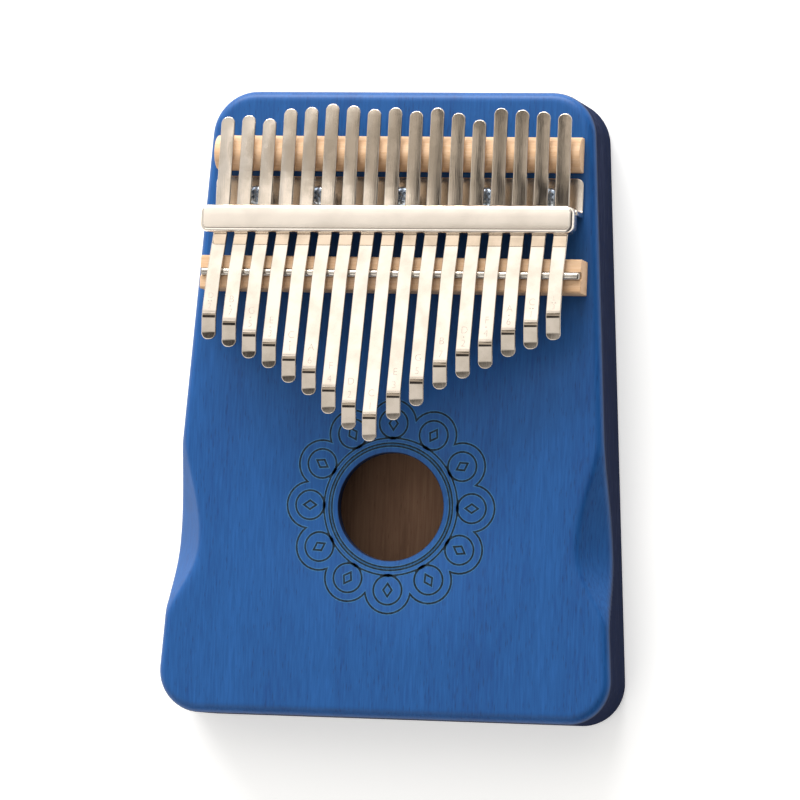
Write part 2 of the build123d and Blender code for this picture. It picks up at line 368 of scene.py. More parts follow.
@dataclass(frozen=True)
class WoodFinish:
    """Straight-grained hardwood: fibre streaks, growth bands and short open pores.

    The bands give the slow change of tone across the board, the fibres the fine lines along
    it, and the pores the short dark dashes that a stain settles in.
    """

    name: str
    dark: str
    middle: str
    light: str
    pore: str
    grain: Grain = Grain.ALONG_Y
    band_mm: float = 5.0
    band_length_mm: float = 110.0
    fibre_mm: float = 0.7
    fibre_length_mm: float = 16.0
    fibre_share: float = 0.35
    pore_mm: float = 0.75
    pore_length_mm: float = 5.5
    pore_size: float = 0.2
    pore_share: float = 0.5
    roughness: tuple[float, float] = (0.42, 0.56)
    relief_mm: float = 0.03
    specular: float = 0.5
    # The side colours are painted shade: faces that turn away from up get this dark navy instead of the
    # face's blue.
    side_painted_shade_dark: str = ""
    side_painted_shade_light: str = ""

    def material(self) -> bpy.types.Material:
        """Build the material."""
        material = bpy.data.materials.new(self.name)
        material.use_nodes = True
        tree = material.node_tree
        shader = tree.nodes["Principled BSDF"]
        bands = self.noise(tree, self.band_mm, self.band_length_mm, 3.0)
        fibres = self.noise(tree, self.fibre_mm, self.fibre_length_mm, 2.0)
        pores = self.pore_mask(tree, bands)
        tone = add_node(tree, "ShaderNodeMix", {
            "Factor": self.fibre_share, "A": bands, "B": fibres,
        }, data_type="FLOAT")
        colour = self.ramp(tree, tone.outputs[0], (self.dark, self.middle, self.light))
        # Painted shade: faces that turn away from up blend into the dark side colours.
        if self.side_painted_shade_dark:
            mask = add_node(tree, "ShaderNodeAttribute", attribute_name="faces_up")
            side = self.ramp(
                tree, tone.outputs[0], (self.side_painted_shade_dark, self.side_painted_shade_dark, self.side_painted_shade_light)
            )
            colour = self.mixed(tree, mask.outputs["Fac"], side, colour)
        share = add_node(
            tree, "ShaderNodeMath", {0: pores, 1: self.pore_share}, operation="MULTIPLY"
        )
        pored = self.mixed(tree, share.outputs[0], colour, linear(self.pore))
        tree.links.new(pored, shader.inputs["Base Color"])
        rough = add_node(tree, "ShaderNodeMapRange", {
            "Value": fibres, "To Min": self.roughness[0], "To Max": self.roughness[1],
        })
        tree.links.new(rough.outputs[0], shader.inputs["Roughness"])
        height = add_node(tree, "ShaderNodeMath", {
            0: fibres, 1: pores,
        }, operation="SUBTRACT")
        bump = add_node(tree, "ShaderNodeBump", {
            "Strength": 0.6, "Distance": self.relief_mm * MM, "Height": height.outputs[0],
        })
        tree.links.new(bump.outputs[0], shader.inputs["Normal"])
        shader.inputs["Specular IOR Level"].default_value = self.specular
        # Painted shade: the gloss fades to nothing on faces that turn away from up, so they show no
        # reflection.
        if self.side_painted_shade_dark:
            gloss = add_node(tree, "ShaderNodeMath", {
                0: mask.outputs["Fac"], 1: self.specular,
            }, operation="MULTIPLY")
            tree.links.new(gloss.outputs[0], shader.inputs["Specular IOR Level"])
        return material

    def noise(
        self, tree: bpy.types.NodeTree, across_mm: float, along_mm: float, detail: float
    ) -> bpy.types.NodeSocket:
        """Noise whose lumps are as wide and long as given."""
        node = add_node(tree, "ShaderNodeTexNoise", {
            "Vector": stretched_coordinates(tree, self.grain, across_mm, along_mm),
            "Scale": 1.0, "Detail": detail, "Roughness": 0.55, "Distortion": 0.2,
        })
        return node.outputs["Fac"]

    def pore_mask(
        self, tree: bpy.types.NodeTree, bands: bpy.types.NodeSocket
    ) -> bpy.types.NodeSocket:
        """1 in the pores and 0 between them; pores lie thicker in the dark bands."""
        cells = add_node(tree, "ShaderNodeTexVoronoi", {
            "Vector": stretched_coordinates(
                tree, self.grain, self.pore_mm, self.pore_length_mm
            ),
            "Scale": 1.0, "Randomness": 1.0,
        }, feature="F1")
        reach = add_node(tree, "ShaderNodeMapRange", {
            "Value": bands, "From Min": 0.35, "From Max": 0.65,
            "To Min": 1.6 * self.pore_size, "To Max": 0.6 * self.pore_size,
        })
        inside = add_node(tree, "ShaderNodeMapRange", {
            "Value": cells.outputs["Distance"], "From Min": reach.outputs[0],
            "From Max": 0.0, "To Min": 0.0, "To Max": 1.0,
        })
        return inside.outputs[0]

    @staticmethod
    def ramp(
        tree: bpy.types.NodeTree, tone: bpy.types.NodeSocket, colours: tuple[str, str, str]
    ) -> bpy.types.NodeSocket:
        """Spread a tone over a dark, a middle and a light colour."""
        places = (0.32, 0.5, 0.68)
        node = add_node(
            tree, "ShaderNodeValToRGB", {"Fac": tone}, stops=list(zip(places, colours))
        )
        return node.outputs["Color"]

    @staticmethod
    def mixed(
        tree: bpy.types.NodeTree, share: bpy.types.NodeSocket, under: object, over: object
    ) -> bpy.types.NodeSocket:
        """Blend two colours by a mask."""
        node = add_node(tree, "ShaderNodeMix", {
            0: share, 6: under, 7: over,
        }, data_type="RGBA")
        return node.outputs[2]


@dataclass(frozen=True)
class MetalFinish:
    """Plated or drawn metal: a tinted mirror with smudges, fine scratches and a slow ripple.

    Smudges change the gloss in soft patches, scratches draw thin lines along the polishing
    direction, and the ripple bends what the metal reflects.
    """

    name: str
    tint: str
    smudge: str
    grain: Grain = Grain.ALONG_Y
    roughness: tuple[float, float] = (0.1, 0.22)
    smudge_mm: float = 7.0
    scratch_mm: float = 0.25
    scratch_length_mm: float = 9.0
    scratch_relief_mm: float = 0.002
    ripple_mm: float = 6.0
    ripple_relief_mm: float = 0.02

    def material(self) -> bpy.types.Material:
        """Build the material."""
        material = bpy.data.materials.new(self.name)
        material.use_nodes = True
        tree = material.node_tree
        shader = tree.nodes["Principled BSDF"]
        shader.inputs["Metallic"].default_value = 1.0
        smudges = self.noise(tree, self.smudge_mm, self.smudge_mm, 4.0)
        scratches = self.noise(tree, self.scratch_mm, self.scratch_length_mm, 2.0)
        ripple = self.noise(tree, self.ripple_mm, 2 * self.ripple_mm, 1.0)
        colour = add_node(tree, "ShaderNodeValToRGB", {"Fac": smudges}, stops=[
            (0.35, self.smudge), (0.6, self.tint),
        ])
        tree.links.new(colour.outputs["Color"], shader.inputs["Base Color"])
        both = add_node(tree, "ShaderNodeMix", {
            "Factor": 0.4, "A": smudges, "B": scratches,
        }, data_type="FLOAT")
        rough = add_node(tree, "ShaderNodeMapRange", {
            "Value": both.outputs[0], "From Min": 0.35, "From Max": 0.65,
            "To Min": self.roughness[1], "To Max": self.roughness[0],
        })
        tree.links.new(rough.outputs[0], shader.inputs["Roughness"])
        slow = add_node(tree, "ShaderNodeBump", {
            "Strength": 1.0, "Distance": self.ripple_relief_mm * MM, "Height": ripple,
        })
        fine = add_node(tree, "ShaderNodeBump", {
            "Strength": 1.0, "Distance": self.scratch_relief_mm * MM,
            "Height": scratches, "Normal": slow.outputs[0],
        })
        tree.links.new(fine.outputs[0], shader.inputs["Normal"])
        return material

    def noise(
        self, tree: bpy.types.NodeTree, across_mm: float, along_mm: float, detail: float
    ) -> bpy.types.NodeSocket:
        """Noise whose lumps are as wide and long as given."""
        node = add_node(tree, "ShaderNodeTexNoise", {
            "Vector": stretched_coordinates(tree, self.grain, across_mm, along_mm),
            "Scale": 1.0, "Detail": detail, "Roughness": 0.5,
        })
        return node.outputs["Fac"]


@dataclass(frozen=True)
class BurntLineFinish:
    """Wood charred by an engraving tool: matt, uneven, with a sooty bottom."""

    name: str
    dark: str
    light: str
    fleck_mm: float = 0.9
    roughness: float = 0.8

    def material(self) -> bpy.types.Material:
        """Build the material."""
        material = bpy.data.materials.new(self.name)
        material.use_nodes = True
        tree = material.node_tree
        shader = tree.nodes["Principled BSDF"]
        flecks = add_node(tree, "ShaderNodeTexNoise", {
            "Vector": stretched_coordinates(
                tree, Grain.ALONG_Y, self.fleck_mm, 2 * self.fleck_mm
            ),
            "Scale": 1.0, "Detail": 3.0,
        })
        colour = add_node(tree, "ShaderNodeValToRGB", {"Fac": flecks.outputs["Fac"]}, stops=[
            (0.38, self.dark), (0.66, self.light),
        ])
        tree.links.new(colour.outputs["Color"], shader.inputs["Base Color"])
        shader.inputs["Roughness"].default_value = self.roughness
        shader.inputs["Specular IOR Level"].default_value = 0.25
        return material


@dataclass(frozen=True)
class Workshop:
    """The finishes of the object, each built once."""

    # Blue water stain under satin lacquer, saturated on the face; the near-black navy and lost gloss on the
    # sides are painted shade.
    stained: WoodFinish = WoodFinish(
        "blue_stained_hardwood_satin_lacquer",
        dark="#104584", middle="#14508f", light="#1b599d", pore="#122b58",
        band_mm=11.0, fibre_share=0.55, fibre_mm=0.6, fibre_length_mm=9.0,
        pore_mm=0.85, pore_length_mm=4.5, pore_size=0.27, pore_share=0.5,
        side_painted_shade_dark="#2c3248", side_painted_shade_light="#3c425a", roughness=(0.38, 0.5), specular=0.32,
    )
    # The same board where no stain reached: bare brown wood inside the box.
    bare: WoodFinish = WoodFinish(
        "bare_brown_hardwood_sawn",
        dark="#7a5a45", middle="#8c6a53", light="#9a785f", pore="#5a3f2e",
        roughness=(0.7, 0.85), fibre_share=0.55, relief_mm=0.05, specular=0.3,
    )
    # Sanded beech: pale pinkish tan with short darker ray flecks along the grain.
    beech: WoodFinish = WoodFinish(
        "beech_fine_sanded",
        dark="#d3a87f", middle="#dfb891", light="#e9c6a4", pore="#ad7c53",
        grain=Grain.ALONG_X, band_mm=2.6, band_length_mm=40.0, fibre_mm=0.35,
        fibre_length_mm=6.0, fibre_share=0.5, pore_mm=0.55, pore_length_mm=1.8,
        pore_size=0.26, pore_share=0.45, roughness=(0.55, 0.7), relief_mm=0.02, specular=0.35,
    )
    # Nickel plate on rolled spring steel: a warm mirror dulled by handling.
    nickel_tine: MetalFinish = MetalFinish(
        "nickel_plated_spring_steel", tint="#e7dbcd", smudge="#d6cabb",
        roughness=(0.03, 0.09), ripple_relief_mm=0.016,
    )
    # Nickel plate over a polished bar: brighter and smoother than the tines.
    nickel_bar: MetalFinish = MetalFinish(
        "nickel_plated_steel_polished", tint="#ebe1d5", smudge="#dfd5c9",
        grain=Grain.ALONG_X, roughness=(0.16, 0.24), smudge_mm=14.0,
        ripple_mm=9.0, ripple_relief_mm=0.02,
    )
    # Wire drawn through a die: fine rings of drawing marks along the rod.
    drawn_rod: MetalFinish = MetalFinish(
        "drawn_steel_wire_nickelled", tint="#d2cbc0", smudge="#a39c93",
        grain=Grain.ALONG_X, roughness=(0.16, 0.3), smudge_mm=3.0,
    )
    # Blue-passivated zinc: a thin bluish plate with a slightly milky gloss.
    zinc: MetalFinish = MetalFinish(
        "blue_passivated_zinc_plate", tint="#aeb9c6", smudge="#8795a6",
        roughness=(0.24, 0.38), smudge_mm=2.0, scratch_mm=0.3, scratch_length_mm=1.5,
        ripple_mm=2.0,
    )
    burnt: BurntLineFinish = BurntLineFinish("burnt_engraving_line", "#13202b", "#233544")
    scorched: BurntLineFinish = BurntLineFinish("faded_stain_beside_line", "#356a9c", "#3f76a8")
    etched: BurntLineFinish = BurntLineFinish("etched_note_mark", "#b9a99b", "#cdbfb2")

    def build(self) -> dict[str, bpy.types.Material]:
        """Build every material, by the name of its finish here."""
        return {name: getattr(self, name).material() for name in self.__dataclass_fields__}


# ---------------------------------------------------------------- wooden box


@dataclass(frozen=True)
class Plan:
    """Tapered outline of the box, seen from the face, with four rounded corners."""

    rear_y: float
    front_y: float
    rear_half: float
    front_half: float
    rear_radius: float = 13.5 * MM
    front_radius: float = 12.5 * MM
    least_radius: float = 1.2 * MM
    corner_steps: int = 14
    side_steps: int = 110
    end_steps: int = 16

    @property
    def taper(self) -> float:
        """Growth of the half width per unit of length, towards the front."""
        return (self.front_half - self.rear_half) / (self.rear_y - self.front_y)

    @property
    def lean(self) -> float:
        """Angle of the side walls' normals from the X axis, in degrees."""
        return math.degrees(math.atan(self.taper))

    def corner(self, side: int, end: int, inset: float) -> tuple[tuple[float, float], float]:
        """Centre and radius of a corner's rounding.

        Args:
            side: 1 on the right, -1 on the left.
            end: 1 at the rear, -1 at the front.
            inset: Distance from the outline, inwards.

        Returns:
            The centre and the radius.
        """
        radius = self.rear_radius if end > 0 else self.front_radius
        radius = max(radius - inset, self.least_radius)
        reach = inset + radius
        y = self.rear_y - reach if end > 0 else self.front_y + reach
        slant = math.hypot(1, self.taper)
        x = self.rear_half + self.taper * (self.rear_y - y) - reach * slant
        return (side * x, y), radius

    def ring(self, inset: float, height: float) -> list[Vector]:
        """One loop of points round the outline, anticlockwise from the right side's front.

        Args:
            inset: Distance from the outline, inwards.
            height: Z of the loop.

        Returns:
            The points, always as many and in the same order.
        """
        lean = self.lean
        corners = [
            (1, 1, lean, 90.0),
            (-1, 1, 90.0, 180.0 - lean),
            (-1, -1, 180.0 - lean, 270.0),
            (1, -1, 270.0, 360.0 + lean),
        ]
        arcs = []
        for side, end, start, stop in corners:
            centre, radius = self.corner(side, end, inset)
            arcs.append(arc_points(centre, radius, start, stop, self.corner_steps))
        runs = (self.side_steps, self.end_steps, self.side_steps, self.end_steps)
        points = []
        for number, steps in enumerate(runs):
            start, stop = arcs[number - 1][-1], arcs[number][0]
            points += [start.lerp(stop, step / steps) for step in range(1, steps)]
            points += arcs[number]
        return [point.to_3d() + Vector((0, 0, height)) for point in points]


@dataclass
class WoodenBox:
    """The hollow body: soundboard, rim and back, with two palm scoops in its sides."""

    rear_half: float = 57.6 * MM
    front_half: float = 69.2 * MM
    face_radius: float = 3.0 * MM
    back_radius: float = 2.5 * MM
    rounding_steps: int = 8
    wall_steps: int = 20
    face_insets_mm: tuple[float, ...] = (15.0, 13.0, 11.5, 10.0, 8.8, 7.6, 6.6, 5.6, 4.8, 4.1, 3.5)
    # Normal heights over which the painted shade of the sides blends into the face's stain.
    painted_shade_slopes: tuple[float, float] = (0.12, 0.5)
    scoop_from_front: float = 50.0 * MM
    scoop_depth: float = 6.7 * MM
    scoop_angle: float = 46.0
    scoop_rear_reach: float = 42.0 * MM
    scoop_front_reach: float = 28.0 * MM
    ridge_softness: float = 1.3 * MM
    flat_from: float = 19.0 * MM
    hole_radius: float = 15.9 * MM
    hole_from_front: float = 62.1 * MM
    hole_offset: float = 1.0 * MM
    hole_edge: float = 0.35 * MM
    finger_hole_radius: float = 5.0 * MM
    finger_hole_spacing: float = 56.0 * MM
    finger_hole_from_front: float = 100.0 * MM
    cavity_inset: float = 8.0 * MM

    def __post_init__(self) -> None:
        """Take the places that the frame gives."""
        low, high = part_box("soundboard")
        self.face_z = high.z
        self.seam_z = low.z
        self.back_seam_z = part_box("back_panel")[1].z
        self.front_y, self.rear_y = low.y, high.y
        self.plan = self.fit_plan(high.x)
        self.scoop_y = self.front_y + self.scoop_from_front
        self.hole_centre = Vector((self.hole_offset, self.front_y + self.hole_from_front, 0))

    def fit_plan(self, widest: float) -> Plan:
        """Find the tapered outline whose rounded front corners reach the box's width.

        Args:
            widest: Half the width of the CAD box.

        Returns:
            The outline.
        """
        plan = Plan(self.rear_y, self.front_y, self.rear_half, self.front_half)
        reached = max(point.x for point in plan.ring(0.0, 0.0))
        scale = widest / reached
        return Plan(
            self.rear_y, self.front_y, self.rear_half * scale, self.front_half * scale
        )

    def scooped(self, point: Vector) -> Vector:
        """Move a point of the plain block onto the palm scoop beside it.

        Args:
            point: Point on the rounded block.

        Returns:
            The point on the scoop, or the same point where there is none.
        """
        side = 1 if point.x > 0 else -1
        rise = math.radians(self.scoop_angle)
        taper = self.plan.taper
        along = Vector((side * taper, -1, 0)).normalized()
        outward = Vector((side, taper, 0)).normalized()
        out = outward * math.sin(rise) + Vector((0, 0, math.cos(rise)))
        half = self.plan.rear_half + taper * (self.rear_y - self.scoop_y)
        edge = Vector((side * half, self.scoop_y, self.face_z))
        place = (point - edge).dot(along)
        reach = self.scoop_front_reach if place > 0 else self.scoop_rear_reach
        if abs(place) >= reach:
            return point
        depth = self.scoop_depth * (0.5 + 0.5 * math.cos(math.pi * place / reach))
        height = (point - edge).dot(out)
        soft = self.ridge_softness * min(1.0, depth / (0.35 * self.scoop_depth)) + 1e-9
        blend = max(0.0, soft - abs(height + depth)) / soft
        lowered = min(height, -depth) - blend * blend * soft / 4
        return point + out * (lowered - height)

    def outer_shell(self) -> bmesh.types.BMesh:
        """The outside skin, open where the flat face and the flat back go."""
        plan = self.plan
        rings = [plan.ring(self.flat_from, self.face_z)]
        rings += [plan.ring(inset * MM, self.face_z) for inset in self.face_insets_mm]
        for step in range(self.rounding_steps + 1):
            turn = math.radians(90 * step / self.rounding_steps)
            inset = self.face_radius * (1 - math.sin(turn))
            height = self.face_z - self.face_radius * (1 - math.cos(turn))
            rings.append(plan.ring(inset, height))
        side_top = self.face_z - self.face_radius
        side_low = self.back_radius
        for step in range(1, self.wall_steps):
            height = side_top + (side_low - side_top) * step / self.wall_steps
            rings.append(plan.ring(0.0, height))
        for step in range(self.rounding_steps + 1):
            turn = math.radians(90 * step / self.rounding_steps)
            inset = self.back_radius * (1 - math.cos(turn))
            height = self.back_radius * (1 - math.sin(turn))
            rings.append(plan.ring(inset, height))
        bm = bmesh.new()
        loft(bm, rings)
        for vert in bm.verts:
            vert.co = self.scooped(vert.co.copy())
        bmesh.ops.recalc_face_normals(bm, faces=bm.faces)
        outward = sum(face.normal.dot(face.calc_center_median()) for face in bm.faces)
        if outward < 0:
            bmesh.ops.reverse_faces(bm, faces=bm.faces)
        bm.normal_update()
        # How far each point faces up; the stained wood paints shade on the points that face away.
        faces_up = bm.verts.layers.float.new("faces_up")
        for vert in bm.verts:
            vert[faces_up] = smooth_step(*self.painted_shade_slopes, vert.normal.z)
        return bm

    def slice(self, low: float | None, high: float | None) -> bmesh.types.BMesh:
        """The part of the outside skin between two heights."""
        bm = self.outer_shell()
        for height, above in ((low, True), (high, False)):
            if height is not None:
                bmesh.ops.bisect_plane(
                    bm, geom=[*bm.verts, *bm.edges, *bm.faces], dist=1e-7,
                    plane_co=(0, 0, height), plane_no=(0, 0, 1),
                    clear_inner=above, clear_outer=not above,
                )
        return bm

    def drill(
        self, bm: bmesh.types.BMesh, centre: Vector, radius: float, top: float, low: float
    ) -> tuple[list[bmesh.types.BMEdge], list[bmesh.types.BMEdge]]:
        """The wall of a round hole with broken edges.

        Args:
            bm: Mesh to draw in.
            centre: Middle of the hole.
            radius: Radius of the hole.
            top: Height of its upper mouth.
            low: Height of its lower mouth.

        Returns:
            The edges of the upper mouth and of the lower one.
        """
        edge = self.hole_edge
        levels = [
            (radius + edge, top), (radius + 0.3 * edge, top - 0.3 * edge),
            (radius, top - edge), (radius, low + edge), (radius + edge, low),
        ]
        rings = []
        for reach, height in levels:
            circle = arc_points((centre.x, centre.y), reach, 0.0, 360.0, 96)[:-1]
            rings.append([point.to_3d() + Vector((0, 0, height)) for point in circle])
        return loft(bm, rings)

    def dress(self, bm: bmesh.types.BMesh, inside: Callable[[Vector, Vector], bool]) -> None:
        """Mark bare faces, and the flat of the face as facing up.

        Args:
            bm: Mesh to mark.
            inside: Whether a face with this middle and normal is bare wood.
        """
        bmesh.ops.remove_doubles(bm, verts=bm.verts, dist=1e-7)
        bmesh.ops.recalc_face_normals(bm, faces=bm.faces)
        bm.normal_update()
        faces_up = bm.verts.layers.float["faces_up"]
        for vert in bm.verts:
            if vert.co.z > self.face_z - 1e-6:
                vert[faces_up] = 1.0
        for face in bm.faces:
            face.material_index = int(inside(face.calc_center_median(), face.normal))

    def build_soundboard(self, materials: Sequence[bpy.types.Material]) -> bpy.types.Object:
        """The face of the box, with its sound hole."""
        bm = self.slice(self.seam_z, None)
        top = open_edges_at(bm, self.face_z)
        low = open_edges_at(bm, self.seam_z)
        mouth, under = self.drill(
            bm, self.hole_centre, self.hole_radius, self.face_z, self.seam_z
        )
        cap(bm, top, mouth)
        cap(bm, low, under)
        self.dress(bm, lambda middle, normal: normal.z < -0.9)
        return make_object(bm, "soundboard_panel", materials)

    def build_rim(self, materials: Sequence[bpy.types.Material]) -> bpy.types.Object:
        """The wall round the sound chamber."""
        bm = self.slice(self.back_seam_z, self.seam_z)
        top = open_edges_at(bm, self.seam_z)
        low = open_edges_at(bm, self.back_seam_z)
        rings = [
            self.plan.ring(self.cavity_inset, height)
            for height in (self.seam_z, self.back_seam_z)
        ]
        upper, lower = loft(bm, rings)
        cap(bm, top, upper)
        cap(bm, low, lower)
        inner = self.plan.rear_half - self.cavity_inset + 1e-4
        reach = self.plan.taper

        def bare(middle: Vector, normal: Vector) -> bool:
            """Inner walls and the hidden glued faces."""
            half = inner + reach * (self.rear_y - middle.y)
            within = abs(middle.x) < half and self.front_y + 8.2 * MM > middle.y
            return abs(normal.z) > 0.95 or abs(middle.x) < half and not within

        self.dress(bm, bare)
        return make_object(bm, "box_rim", materials)

    def build_back(self, materials: Sequence[bpy.types.Material]) -> bpy.types.Object:
        """The back of the box, with two finger holes."""
        bm = self.slice(None, self.back_seam_z)
        top = open_edges_at(bm, self.back_seam_z)
        low = open_edges_at(bm, 0.0)
        mouths, unders = [], []
        y = self.front_y + self.finger_hole_from_front
        for side in (-1, 1):
            centre = Vector((side * self.finger_hole_spacing / 2, y, 0))
            mouth, under = self.drill(
                bm, centre, self.finger_hole_radius, self.back_seam_z, 0.0
            )
            mouths += mouth
            unders += under
        cap(bm, top, mouths)
        cap(bm, low, unders)
        self.dress(bm, lambda middle, normal: normal.z > 0.9)
        return make_object(bm, "back_board", materials)

    def build(self, finishes: dict[str, bpy.types.Material]) -> None:
        """Build, dress and seat the three wooden shells and the inner block."""
        materials = (finishes["stained"], finishes["bare"])
        seat(self.build_soundboard(materials), "box", "stained_wood", "soundboard")
        seat(self.build_rim(materials), "box", "stained_wood_side", "side_rim")
        seat(self.build_back(materials), "box", "stained_wood_side", "back_panel")
        block = frame["nodes"]["screw_block"]
        block.data.materials.clear()
        block.data.materials.append(finishes["bare"])


# ---------------------------------------------------------------- engraved rosette


@dataclass
class Rosette:
    """Plain border round the sound hole: three rings, and scallops that each hold a circle."""

    centre: Vector
    face_z: float
    folds: int = 12
    line_width: float = 0.56 * MM
    halo_width: float = 1.0 * MM
    line_proud: float = 0.02 * MM
    halo_proud: float = 0.01 * MM
    line_sink: float = 0.15 * MM
    ring_radii: tuple[float, ...] = (17.85 * MM, 18.7 * MM, 20.2 * MM)
    ring_width: float = 0.5 * MM
    scallop_centre: float = 24.5 * MM
    scallop_radius: float = 6.9 * MM
    circle_radius: float = 4.3 * MM
    diamond_half: tuple[float, float] = (1.9 * MM, 1.3 * MM)

    def half_sector(self) -> list[list[Vector]]:
        """Lines between the middle of a scallop, at 0 degrees, and its meeting with the next."""
        step = math.radians(180.0 / self.folds)
        across = self.scallop_centre * math.sin(step)
        along = self.scallop_centre * math.cos(step)
        meeting = along + math.sqrt(self.scallop_radius ** 2 - across ** 2)
        reach = Vector((meeting * math.cos(step), meeting * math.sin(step)))
        reach.x -= self.scallop_centre
        middle = (self.scallop_centre, 0.0)
        stop = math.degrees(math.atan2(reach.y, reach.x))
        length, width = self.diamond_half
        return [
            arc_points(middle, self.scallop_radius, 0.0, stop, 8),
            arc_points(middle, self.circle_radius, 0.0, 180.0, 16),
            [
                Vector((self.scallop_centre + length, 0)), Vector((self.scallop_centre, width)),
                Vector((self.scallop_centre - length, 0)),
            ],
        ]

    def strokes(self) -> list[tuple[list[Vector], float]]:
        """Every line of the border about the middle, with its width."""
        lines = []
        for fold in range(self.folds):
            facing = Matrix.Rotation(math.tau * fold / self.folds, 2)
            for line in self.half_sector():
                for flip in (1, -1):
                    lines.append([facing @ Vector((p.x, flip * p.y)) for p in line])
        strokes = [(line, self.line_width) for line in self.joined(lines)]
        for radius in self.ring_radii:
            strokes.append((arc_points((0, 0), radius, 0, 360, 120), self.ring_width))
        return strokes

    @staticmethod
    def joined(lines: list[list[Vector]]) -> list[list[Vector]]:
        """Make one line of any two that alone share an end.

        Args:
            lines: Lines of points.

        Returns:
            The lines, with mirrored halves joined.
        """
        def corner(point: Vector) -> tuple[int, int]:
            """A point's place on a fine grid, so that equal ends compare equal."""
            return round(point.x * 2e4), round(point.y * 2e4)

        lines = [list(line) for line in lines]
        joining = True
        while joining:
            joining = False
            ends: dict[tuple[int, int], list[int]] = {}
            for number, line in enumerate(lines):
                for point in (line[0], line[-1]):
                    ends.setdefault(corner(point), []).append(number)
            for place, pair in ends.items():
                if len(pair) == 2 and pair[0] != pair[1]:
                    first, second = lines[pair[0]], lines[pair[1]]
                    if corner(first[-1]) != place:
                        first.reverse()
                    if corner(second[0]) != place:
                        second.reverse()
                    lines[pair[0]] = first + second[1:]
                    del lines[pair[1]]
                    joining = True
                    break
        return lines

    def ribbon(
        self, bm: bmesh.types.BMesh, line: Sequence[Vector], width: float, top: float
    ) -> None:
        """A flat strip of even width along a line, let into the board.

        Args:
            bm: Mesh to draw in.
            line: Points along the middle of the strip.
            width: Width of the strip.
            top: Height of its upper side.
        """
        closed = (line[0] - line[-1]).length < 1e-6
        low = top - self.line_sink
        rings = []
        for number, point in enumerate(line):
            last = number + 1 == len(line)
            before = line[number - 1] if number else (line[-2] if closed else point)
            after = line[number + 1] if not last else (line[1] if closed else point)
            heading = (point - before).normalized() + (after - point).normalized()
            heading.normalize()
            run = (after - point) if (after - point).length else (point - before)
            straight = max(0.5, heading.dot(run.normalized()))
            half = Vector((-heading.y, heading.x)) * (width / 2 / straight)
            left, right = point + half, point - half
            rings.append([
                Vector((left.x, left.y, low)), Vector((right.x, right.y, low)),
                Vector((right.x, right.y, top)), Vector((left.x, left.y, top)),
            ])
        first, last = loft(bm, rings)
        if not closed:
            bmesh.ops.contextual_create(bm, geom=first)
            bmesh.ops.contextual_create(bm, geom=last)

    def build_layer(
        self, name: str, material: bpy.types.Material, proud: float, extra: float
    ) -> bpy.types.Object:
        """All lines at one height and width."""
        bm = bmesh.new()
        for line, width in self.strokes():
            self.ribbon(bm, line, width + extra, proud)
        bmesh.ops.remove_doubles(bm, verts=bm.verts, dist=1e-8)
        bmesh.ops.recalc_face_normals(bm, faces=bm.faces)
        place = Matrix.Translation((self.centre.x, self.centre.y, self.face_z))
        bmesh.ops.transform(bm, matrix=place, verts=bm.verts)
        return make_object(bm, name, (material,), recalculate=False)

    def build(self, finishes: dict[str, bpy.types.Material]) -> None:
        """Build and seat the faded borders and the burnt lines."""
        extra = self.halo_width - self.line_width
        halo = self.build_layer(
            "rosette_borders", finishes["scorched"], self.halo_proud, extra
        )
        lines = self.build_layer("rosette_lines", finishes["burnt"], self.line_proud, 0.0)
        seat(halo, "box", "stained_wood")
        seat(lines, "box", "stained_wood")


# ---------------------------------------------------------------- bridges


